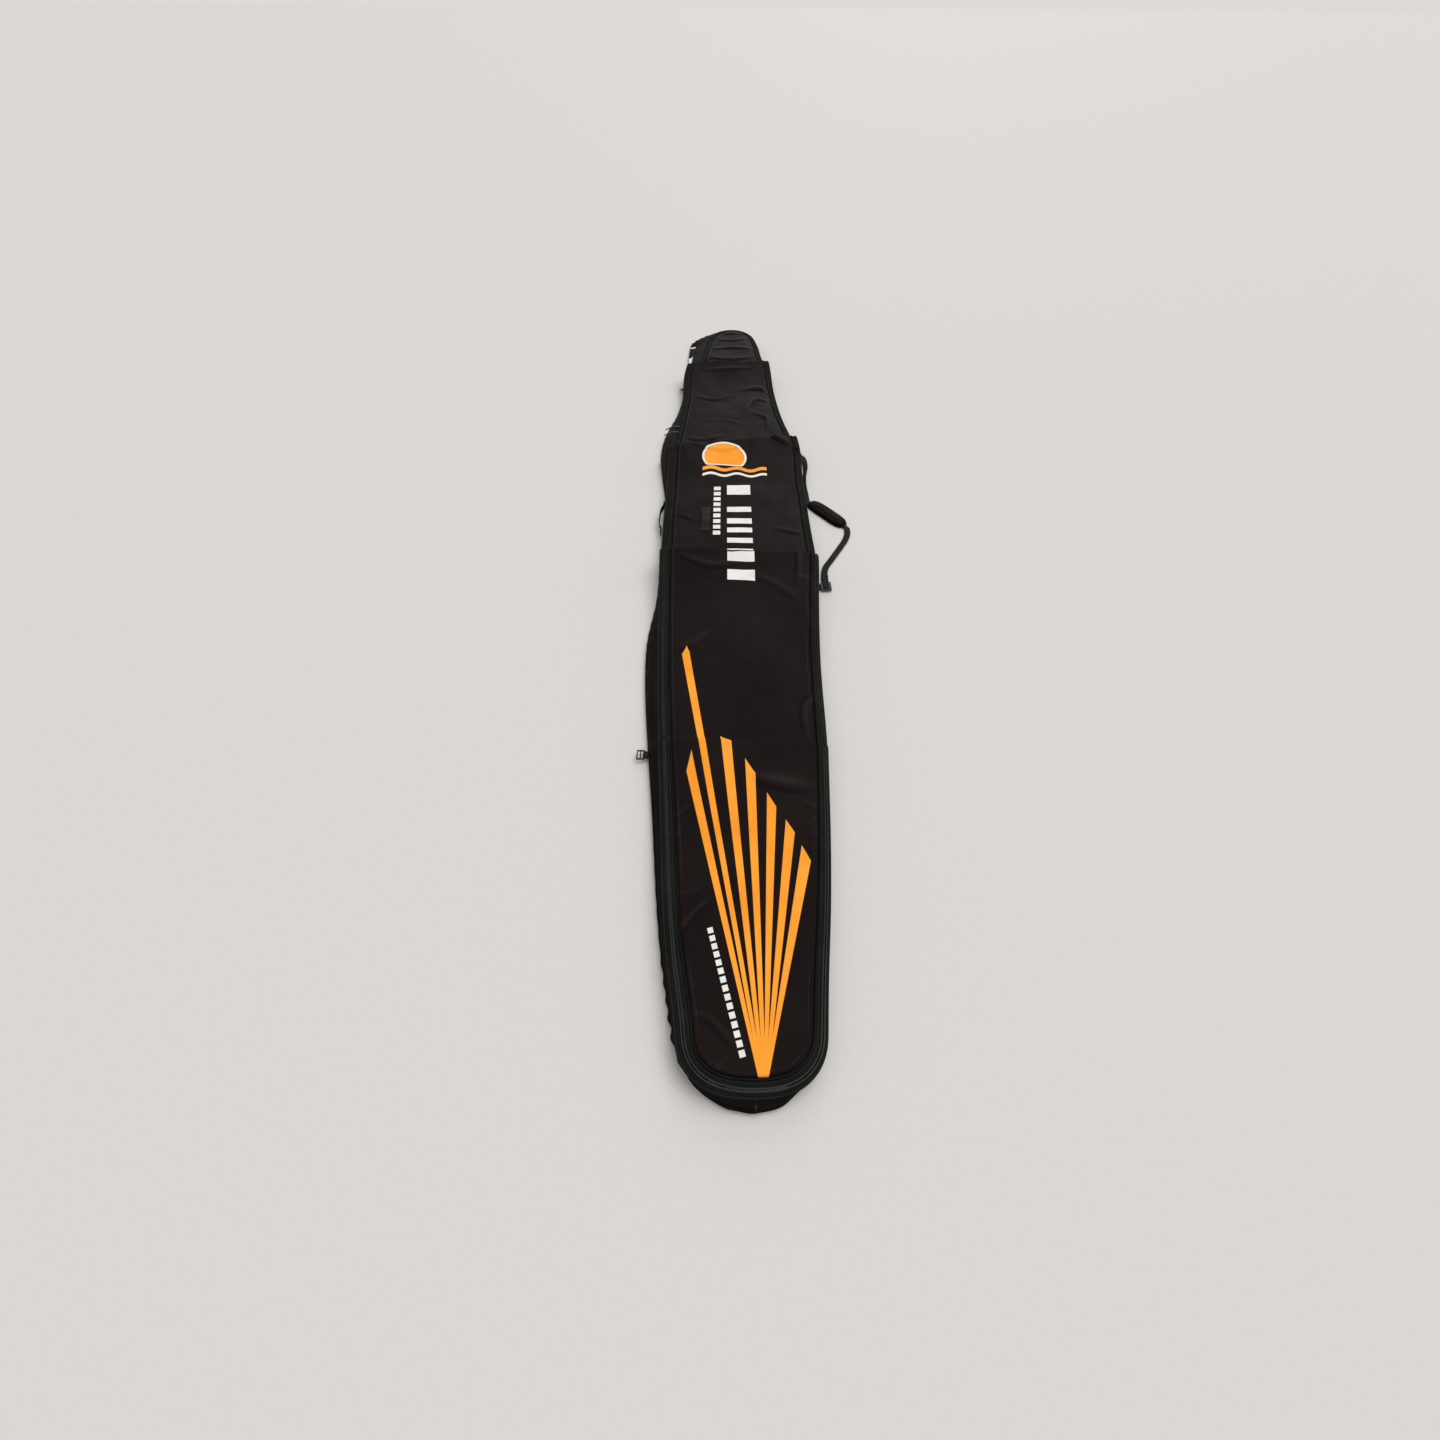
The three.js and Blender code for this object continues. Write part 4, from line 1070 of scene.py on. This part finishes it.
def gusset_folds(v):
    """How far the wall's cloth stands out or sinks: long slack folds, gathers, and corner pleats."""
    s = ZIP.s[:, None]
    v = v[None]
    sway = 0.52 + 0.06 * np.sin(s / 260) + 0.03 * np.sin(s / 97)
    sunk = (4.2 + 1.8 * np.sin(s / 310 + 1) + 1.2 * np.sin(s / 127)) * np.exp(-((v - sway) / 0.085) ** 2)
    second = (2.4 + 1.6 * np.sin(s / 187 + 2)) * np.exp(-((v - sway - 0.27) / 0.06) ** 2)
    gathers = 0.8 * np.sin(s / 8.6 + 2.1 * np.sin(s / 190) + 2.5 * v) * (0.5 + 0.5 * np.sin(s / 233 + 0.6))
    corners = np.zeros_like(s)
    for station in (TAIL_LEFT, NOSE_LEFT, NOSE_RIGHT, TAIL_RIGHT):
        away = np.abs(ZIP.s - ZIP.s[station])[:, None]
        corners += np.exp(-(away / 105) ** 2)
    pleats = 3.0 * corners * np.sin(s / 6.4 + 3.5 * v)
    return (1.6 - sunk - second + gathers + pleats) * np.sin(np.pi * v) ** 0.7


WALL = 2.4
line, v = gusset_line(27)
tangent = unit(np.gradient(line, axis=1))
normal = np.stack([tangent[..., 1], -tangent[..., 0]], axis=-1)
outer = line + normal * gusset_folds(v)[..., None]
outer[..., 1] = np.maximum(outer[..., 1], 1.7)
tangent = unit(np.gradient(outer, axis=1))
inner = outer - np.stack([tangent[..., 1], -tangent[..., 0]], axis=-1) * WALL
inner[:, 0] = np.stack([FOOT - WALL - 1, np.full(COUNT, 1.7)], axis=-1)
inner[..., 1] = np.maximum(inner[..., 1], 1.6)


def standing(line):
    """(out, z) pairs at every station as points."""
    return np.concatenate([out_from(ZIP.p, ZIP.n, line[..., 0]), line[..., 1:]], axis=-1)


OUTER, INNER = standing(outer), standing(inner)
up_wall = np.cumsum(np.linalg.norm(np.diff(OUTER, axis=1, prepend=OUTER[:, :1]), axis=2), axis=1)
WALL_CLOTH = on_cloth(ZIP.s, up_wall)

GUSSET_PIECES = [
    ("gusset_wall_left", TAIL_LEFT, NOSE_LEFT, "base", ["gusset_left"]),
    ("gusset_wall_nose", NOSE_LEFT, NOSE_RIGHT, "base", ["gusset_nose"]),
    ("gusset_wall_right_nose", NOSE_RIGHT, RISE_NOSE, "base", ["gusset_right"]),
    ("gusset_wall_rising_nose", RISE_NOSE, SEWN_NOSE, "rise_nose", []),
    ("gusset_wall_sewn", SEWN_NOSE, SEWN_TAIL, "sewn", []),
    ("gusset_wall_rising_tail", SEWN_TAIL, RISE_TAIL, "rise_tail", []),
    ("gusset_wall_right_tail", RISE_TAIL, TAIL_RIGHT, "base", []),
    ("gusset_wall_tail", TAIL_RIGHT, TAIL_LEFT, "base", ["gusset_tail"]),
]
for name, start, end, mode, stands_for in GUSSET_PIECES:
    i = span(start, end)
    wall = piece(name, skin(OUTER[i], INNER[i], cloth=WALL_CLOTH[i], inside=-1), GUSSET_NYLON, "nylon",
                 replaces=stands_for, sharp=75, **fixing(mode))

# ------------------------------------------------------------------ the zip, tapes and piping

TOOTH_PITCH, COIL_REACH, TAPE_THICK = 4.0, 4.3, 0.9
TOOTH = bar_rings([(0.35, 0.5, 0.55), (0.9, 0.75, 1.0), (3.3, 0.75, 1.05), (4.3, 0.35, 0.4)], sides=6)


def tape_slope(stations, inner_out, t):
    """Distance out and height of a share of the way down the gusset's half of the zip tape."""
    top, foot = ZIP_Z + LIFT[stations, None], TOP_Z[stations, None] + 0.2
    out = inner_out + (TOP_OUT[stations, None] + 1.2 - inner_out) * t
    return out, top + (foot - top) * t ** 1.35


def gusset_tape(stations, inner_out):
    """From the coil, out and down to the gusset's top edge."""
    return band(stations, *tape_slope(stations, inner_out, np.linspace(0, 1, 6)), TAPE_THICK)


def lid_tape(stations, outer_out):
    out = np.broadcast_to(np.array([outer_out, -8.0, -12.0, -17.0, -21.3]), (len(stations), 5))
    p = out_from(ZIP.p[stations], ZIP.n[stations], out)
    z = ZIP_Z - 0.2 + lift(p[..., 0], p[..., 1]) + np.array([0, 0.25, 0.1, -0.2, -1.2])
    return band(stations, out, z, TAPE_THICK)


def teeth(stations, side):
    """Coil loops along one half of the zip: side is 1 for the gusset's, -1 for the lid's."""
    count = int(len(stations) * ZIP_STEP / TOOTH_PITCH)
    at = (np.arange(count) + (0.5 if side > 0 else 0.0)) * TOOTH_PITCH / ZIP_STEP
    at = at[at < len(stations) - 1]
    i = at.astype(int)
    t = (at - i)[:, None]

    def take(values):
        return values[stations[i]] * (1 - t) + values[stations[i + 1]] * t

    p, n = take(ZIP.p), unit(take(ZIP.n)) * side
    z = ZIP_Z + 1.1 + take(LIFT[:, None])
    up = np.broadcast_to([0.0, 0.0, 1.0], (len(p), 3))
    out = np.concatenate([n, np.zeros((len(p), 1))], axis=1)
    return beads(np.concatenate([p, z], axis=1), out, np.cross(up, out), up, TOOTH)


def coil(stations, side):
    out = np.broadcast_to(side * np.array([1.5, 2.8, 4.2]), (len(stations), 3))
    core = band(stations, out, ZIP_Z - 0.9 + np.broadcast_to(LIFT[stations, None], out.shape), 1.6)
    return join(core, teeth(stations, side))


def tape_stitches(stations, out, level):
    line = np.column_stack([ZIP.p[stations] + ZIP.n[stations] * np.reshape(out, (-1, 1)), level])
    return stitches(line, (0, 0, 1))


def gusset_stitches(stations):
    out, level = tape_slope(stations, 4.4, np.array([0.78]))
    return tape_stitches(stations, out, level + 1.05)


for suffix, start, end, mode, stands_for in (
    ("round", RISE_TAIL, RISE_NOSE, "base", True),
    ("rising_nose", RISE_NOSE, SEWN_NOSE, "rise_nose", False),
    ("rising_tail", SEWN_TAIL, RISE_TAIL, "rise_tail", False),
):
    i = span(start, end)
    piece(f"zip_tape_gusset_{suffix}", gusset_tape(i, COIL_REACH), TAPE, "tape",
          replaces=["zip_tape_gusset"] if stands_for else [], **fixing(mode))
    piece(f"zip_coil_gusset_{suffix}", coil(i, 1), COIL, "coil",
          replaces=["zip_coil_gusset"] if stands_for else [], **fixing(mode))
    piece(f"zip_stitches_gusset_{suffix}", gusset_stitches(i), THREAD, "tape", **fixing(mode))

zipped, sewn = span(SEWN_TAIL, SEWN_NOSE), span(SEWN_NOSE, SEWN_TAIL)
piece("zip_tape_lid_side", lid_tape(zipped, -COIL_REACH), TAPE, "tape", body="lid", replaces=["zip_tape_lid"])
piece("zip_coil_lid_side", coil(zipped, -1), COIL, "coil", body="lid", replaces=["zip_coil_lid"])
piece("seam_tape_gusset", gusset_tape(sewn, 0.6), TAPE, "tape", replaces=["seam_gusset"], **fixing("sewn"))
piece("seam_stitches_gusset", gusset_stitches(sewn), THREAD, "tape", **fixing("sewn"))
piece("seam_tape_lid", lid_tape(sewn, 0.4), TAPE, "tape", body="lid", replaces=["seam_lid"])

LID_STITCHES_OUT = -12.5  # where the lid's half of the zip is sewn down, out from the zip line
all_round = np.arange(COUNT)
p = ZIP.offset(LID_STITCHES_OUT)
level = ZIP_Z + 0.95 + lift(p[:, 0], p[:, 1])
piece("zip_stitches_lid", tape_stitches(all_round, LID_STITCHES_OUT, level), THREAD, "tape", body="lid")

SEAM_PITCH = 5.2
fine = FINE_ZIP.offset(LID_EDGE - SEAM_IN)
fine = even(np.vstack([fine, fine[:1]]), SEAM_PITCH)[:-1]
seam = np.column_stack([fine, lid_top(fine[:, 0], fine[:, 1]) + 0.3])
piece("lid_seam_stitches", stitches(seam, (0, 0, 1), SEAM_PITCH), THREAD, "tape", body="lid")

turn = np.arange(10) / 10 * 2 * np.pi
PIPING_OUT, PIPING_Z, PIPING_RADIUS = -18, 49.2, 2.25
centre = ZIP.offset(PIPING_OUT)
radius = PIPING_RADIUS + 0.12 * np.sin(ZIP.s / 5.5)[:, None]
level = PIPING_Z + lift(centre[:, 0], centre[:, 1])[:, None]
piping = cord(centre, ZIP, radius * np.cos(turn), level + radius * np.sin(turn), turn * 2.3)
piece("lid_piping_cord", piping, TAPE, "tape", body="lid", replaces=["lid_piping"])

for end, station, along in (("tail", SEWN_TAIL, 1), ("nose", SEWN_NOSE, -1)):
    px, py = ZIP.p[station]
    level = ZIP_Z + LIFT[station] + 3.4
    patch = pillow((px - 4.5, py + along * 13, level), (0, 1), (24, 19, 2.6), plan=6, rise=1.6, low=0.4)
    piece(f"zip_end_patch_{end}", patch, TAPE, "tape", body="lid", replaces=[f"zip_stop_{end}"])

# ------------------------------------------------------------------ sliders, pulls and frames

ENDS = ("tail", "nose")
for end in ENDS:
    bevelled(f"slider_{end}", f"zip_slider_{end}", f"slider_{end}", CASTING, width=0.35)
    bevelled(f"pull_tab_{end}", f"zip_pull_{end}", f"pull_{end}", CASTING, width=0.3)
    bevelled(f"pull_grip_{end}", f"zip_grip_{end}", f"pull_{end}", PLASTIC, width=1.1)
for end in ENDS:
    bevelled(f"{end}_lash_frame", f"tie_frame_{end}", f"{end}_lash", PLASTIC, width=0.8)
bevelled("strap_adjuster", "strap_buckle", "strap", PLASTIC, width=0.9)

# Webbing folded round each tie frame's inner bar.
TIES = [("tail", -248, -1307, -263.8, 23), ("nose", -256, 1320, -273.3, 20)]
BAR_Z, ROUND_BAR = 15, 2.9  # the bar's height, and the radius at which the webbing turns round it
for end, x_wall, y_at, bar_x, width in TIES:
    turns = np.linspace(0, math.pi, 9)
    around = [(bar_x - ROUND_BAR * math.sin(a), BAR_Z + ROUND_BAR * math.cos(a)) for a in turns]
    line = [(x_wall, 17.4), (bar_x + 4, 17.8), *around, (bar_x + 4, 12.2), (x_wall, 12.6)]
    line = route([(px, y_at, pz) for px, pz in line], 0.8)
    piece(f"tie_web_{end}", ribbon(line, width, 0.9, side=(0, 1, 0)), WEBBING, "webbing", body="base",
          replaces=[f"{end}_lash_web"])

# ------------------------------------------------------------------ the handles

TAB = 30  # length of a handle's sewn end
SEWN_THICK, LOOP_THICK = 2.2, 2.3


def sewn_ends(handle, body, x, lows, levels, width, side, box_at, box_side, box_size):
    """A handle's two flat sewn ends, and the stitching through them."""
    stitching = []
    for end, low, level in zip(ENDS, lows, levels):
        ys = np.arange(low, low + TAB + 0.1, 2.0)
        line = np.column_stack([np.full(len(ys), x), ys, np.full(len(ys), level)])
        sewn = ribbon(line, width, SEWN_THICK, side=side)
        piece(f"{handle}_sewn_{end}", sewn, WEBBING, "webbing", body=body, replaces=[f"{handle}_tab_{end}"])
        centre = np.array([x, low + TAB / 2, level]) + box_at
        stitching.append(box_stitching(centre, (0, 1, 0), box_side, *box_size))
    piece(f"{handle}_stitching", join(*stitching), THREAD, "webbing", body=body)


def loop_halves(handle, body, line, width, side, starts, middle, x, z):
    """A handle's free webbing in two halves, from each sewn end to its middle.

    x and z, in metres, place the line from each start to the middle that goes into each half's blend.
    """
    half = len(line) // 2
    for end, part, start in zip(ENDS, (line[: half + 1], line[half:]), starts):
        fixed, free = (x, start * MM, z), (x, middle * MM, z)
        piece(f"{handle}_loop_{end}", ribbon(part, width, LOOP_THICK, side=side), WEBBING, "webbing",
              blend=(body, handle, fixed, free), replaces=[f"{handle}_grip"] if end == "tail" else [])


HANDLE_X, HANDLE_FROM, HANDLE_TO = -107, -186, -4


def above_lid(low):
    """The middle of a sewn end's thickness, lying on the lid beneath it."""
    ys = np.arange(low, low + TAB + 0.1, 2.0)
    return lid_top(np.full(len(ys), float(HANDLE_X)), ys).max() + 1.3


lows = (HANDLE_FROM, HANDLE_TO - TAB)
sewn_ends("lid_handle", "lid", HANDLE_X, lows, levels=[above_lid(low) for low in lows], width=38, side=None,
          box_at=(0, 0, 1.45), box_side=(-1, 0, 0), box_size=(22, 27))
middle = (HANDLE_FROM + HANDLE_TO) / 2
grip_points = [  # Y, height over a flat lid
    (HANDLE_FROM + TAB - 6, 54.9), (HANDLE_FROM + TAB + 12, 57.2), (middle - 30, 62.6), (middle, 63.4),
    (middle + 30, 62.6), (HANDLE_TO - TAB - 12, 57.2), (HANDLE_TO - TAB + 6, 54.9),
]
grip_route = route([(HANDLE_X, y, z) for y, z in grip_points], 2.0)
grip_lift = lift(grip_route[:, 0], grip_route[:, 1])
grip_route[:, 2] += np.interp(grip_route[:, 1], [HANDLE_FROM, HANDLE_TO], [grip_lift[0], grip_lift[-1]])
loop_halves("lid_handle", "lid", grip_route, width=34, side=None, middle=middle,
            starts=(HANDLE_FROM + TAB - 4, HANDLE_TO - TAB + 4), x=HANDLE_X * MM, z=0.056)

SIDE_X, SIDE_FROM, SIDE_TO, SIDE_Z = -292.6, -157, 77, 23
UPRIGHT = (0, 0, 1)
sewn_ends("side_handle", "base", SIDE_X, (SIDE_FROM, SIDE_TO - TAB), levels=(SIDE_Z, SIDE_Z), width=30,
          side=UPRIGHT, box_at=(-1.4, 0, 0), box_side=UPRIGHT, box_size=(20, 20))
middle = (SIDE_FROM + SIDE_TO) / 2
side_points = [  # X from the sewn ends, Y, height from them
    (-2.6, SIDE_FROM + 2, 0), (-2.8, SIDE_FROM + TAB, 0), (-10.5, SIDE_FROM + TAB + 28, 0),
    (-13.4, middle, -2), (-10.5, SIDE_TO - TAB - 28, 0), (-2.8, SIDE_TO - TAB, 0), (-2.6, SIDE_TO - 2, 0),
]
side_route = route([(SIDE_X + dx, y, SIDE_Z + dz) for dx, y, dz in side_points], 2.0)
loop_halves("side_handle", "base", side_route, width=26, side=UPRIGHT, middle=middle,
            starts=(SIDE_FROM + TAB, SIDE_TO - TAB), x=-0.3, z=SIDE_Z * MM)

# ------------------------------------------------------------------ the shoulder strap

STRAP_Z, STRAP_WIDTH, STRAP_THICK = 4.2, 25, 2.0  # the height is that of the webbing's middle
PAD_X, PAD_Y, PAD_LENGTH, PAD_WIDTH = 418, 26, 232, 68
PAD_ALONG = np.array([0.575, -0.818])
PAD_PLAN = 3.4  # how square the pad's corners are


def pad_point(d):
    return (PAD_X + PAD_ALONG[0] * d, PAD_Y + PAD_ALONG[1] * d)


def strap_route(points):
    return route([(x, y, STRAP_Z) for x, y in points], 4)


nose_part = strap_route([
    (337, 575), (354, 540), (360, 470), (356, 400), (344, 330), (338, 250), (341, 180), pad_point(-132)])
tail_part = strap_route([
    pad_point(132), (490, -122), (476, -166), (448, -222), (404, -304), (372, -366), (361, -430),
    (361, -500)])
under_pad = even(np.array([nose_part[-1], tail_part[0]]), 4)
twist = 0.75 * np.sin(np.linspace(0, 1, len(nose_part)) * np.pi) ** 1.5
nose_part[:, 2] += 12.5 * np.sin(twist)
strap_line = np.vstack([nose_part, under_pad[1:-1], tail_part])
bank = np.r_[twist, np.zeros(len(strap_line) - len(twist))]
strap = ribbon(strap_line, STRAP_WIDTH, STRAP_THICK, bank=bank)
piece("strap_webbing", strap, WEBBING, "webbing", body="strap", replaces=["strap_web"])

free_line = route([
    (361, -508, 8.6), (361, -496, 10.4), (361, -462, 10.3), (363, -436, 8.6), (365, -414, 6.6)], 2)
piece("strap_loose_end", ribbon(free_line, 24, 1.8), WEBBING, "webbing", body="strap",
      replaces=["strap_free_end"])

for end, line in (
    ("nose", [(300, 575, 5.4), (312, 575, 4.4), (324, 574, 4.0), (338, 572, 4.0), (348, 568, 4.6)]),
    ("tail", [(300, -486, 5.4), (312, -486, 4.4), (324, -486, 3.4), (340, -486, 3.2), (356, -486, 3.2)]),
):
    piece(f"strap_tab_{end}", ribbon(route(line, 2), 36, 1.7), WEBBING, "webbing",
          blend=("base", "strap", (0.3175, 0, 0.004), (0.3295, 0, 0.004)), replaces=[f"strap_anchor_{end}"])


def swollen(made, most):
    """Swells a stuffed piece with a short cloth simulation; no point moves further than most."""
    mesh = made.data
    rest = np.zeros(len(mesh.vertices) * 3)
    mesh.vertices.foreach_get("co", rest)
    cloth = made.modifiers.new("swell", "CLOTH")
    settings = cloth.settings
    settings.use_pressure = True
    settings.uniform_pressure_force = 4
    settings.quality = 5
    settings.effector_weights.gravity = 0
    for step in range(1, 21):
        bpy.context.scene.frame_set(step)
    moved = made.evaluated_get(bpy.context.evaluated_depsgraph_get()).data
    co = np.zeros(len(moved.vertices) * 3)
    moved.vertices.foreach_get("co", co)
    shift = (co - rest).reshape(-1, 3)
    far = np.linalg.norm(shift, axis=1, keepdims=True)
    shift *= np.minimum(1, most * MM / np.maximum(far, 1e-9))
    made.modifiers.remove(cloth)
    bpy.context.scene.frame_set(1)
    mesh.vertices.foreach_set("co", (rest + shift.ravel()))
    mesh.update()


PAD_TOP_SIZE = (PAD_LENGTH - 6, PAD_WIDTH - 6, 17)
cushion = pillow((PAD_X, PAD_Y, 10.6), PAD_ALONG, PAD_TOP_SIZE, plan=PAD_PLAN, rise=2.6, low=0.28, count=120)
cushion = piece("strap_pad_top", cushion, PAD_NYLON, "nylon", body="strap_pad",
                replaces=["strap_pad_cushion"], sharp=80)
swollen(cushion, most=2.5)
PAD_UNDER_SIZE = (PAD_LENGTH - 10, PAD_WIDTH - 10, 2.6)
backing = pillow((PAD_X, PAD_Y, 1.9), PAD_ALONG, PAD_UNDER_SIZE, plan=PAD_PLAN, rise=2.2, count=120)
backing = piece("strap_pad_under", backing, PAD_NYLON, "nylon", body="strap_pad",
                replaces=["strap_pad_backing"], sharp=80)

angles = np.linspace(0, 2 * np.pi, 240, endpoint=False)
rim_a, rim_b = rounded_square(angles, PAD_PLAN)
rim_a, rim_b = rim_a * (PAD_LENGTH - 4) / 2, rim_b * (PAD_WIDTH - 4) / 2
pad_side = np.array([-PAD_ALONG[1], PAD_ALONG[0]])
rim = np.array([PAD_X, PAD_Y]) + np.outer(rim_a, PAD_ALONG) + np.outer(rim_b, pad_side)
rim_parts = []
for sign in (1, -1):
    keep = (rim_b * sign > 15)
    side_line = rim[keep][np.argsort(rim_a[keep])]
    side_line = even(np.column_stack([side_line, np.full(keep.sum(), 4.4)]), 2.5)
    along = unit(np.gradient(side_line, axis=0))
    flat = np.cross([0, 0, 1.0], along)
    turn = np.arange(8) / 8 * 2 * np.pi
    rings = side_line[:, None, :] + 1.7 * (flat[:, None, :] * np.cos(turn)[None, :, None]
                                           + np.array([0, 0, 1.0]) * np.sin(turn)[None, :, None])
    rim_parts.append(tube(rings))
piece("strap_pad_piping", join(*rim_parts), TAPE, "tape", body="strap_pad")
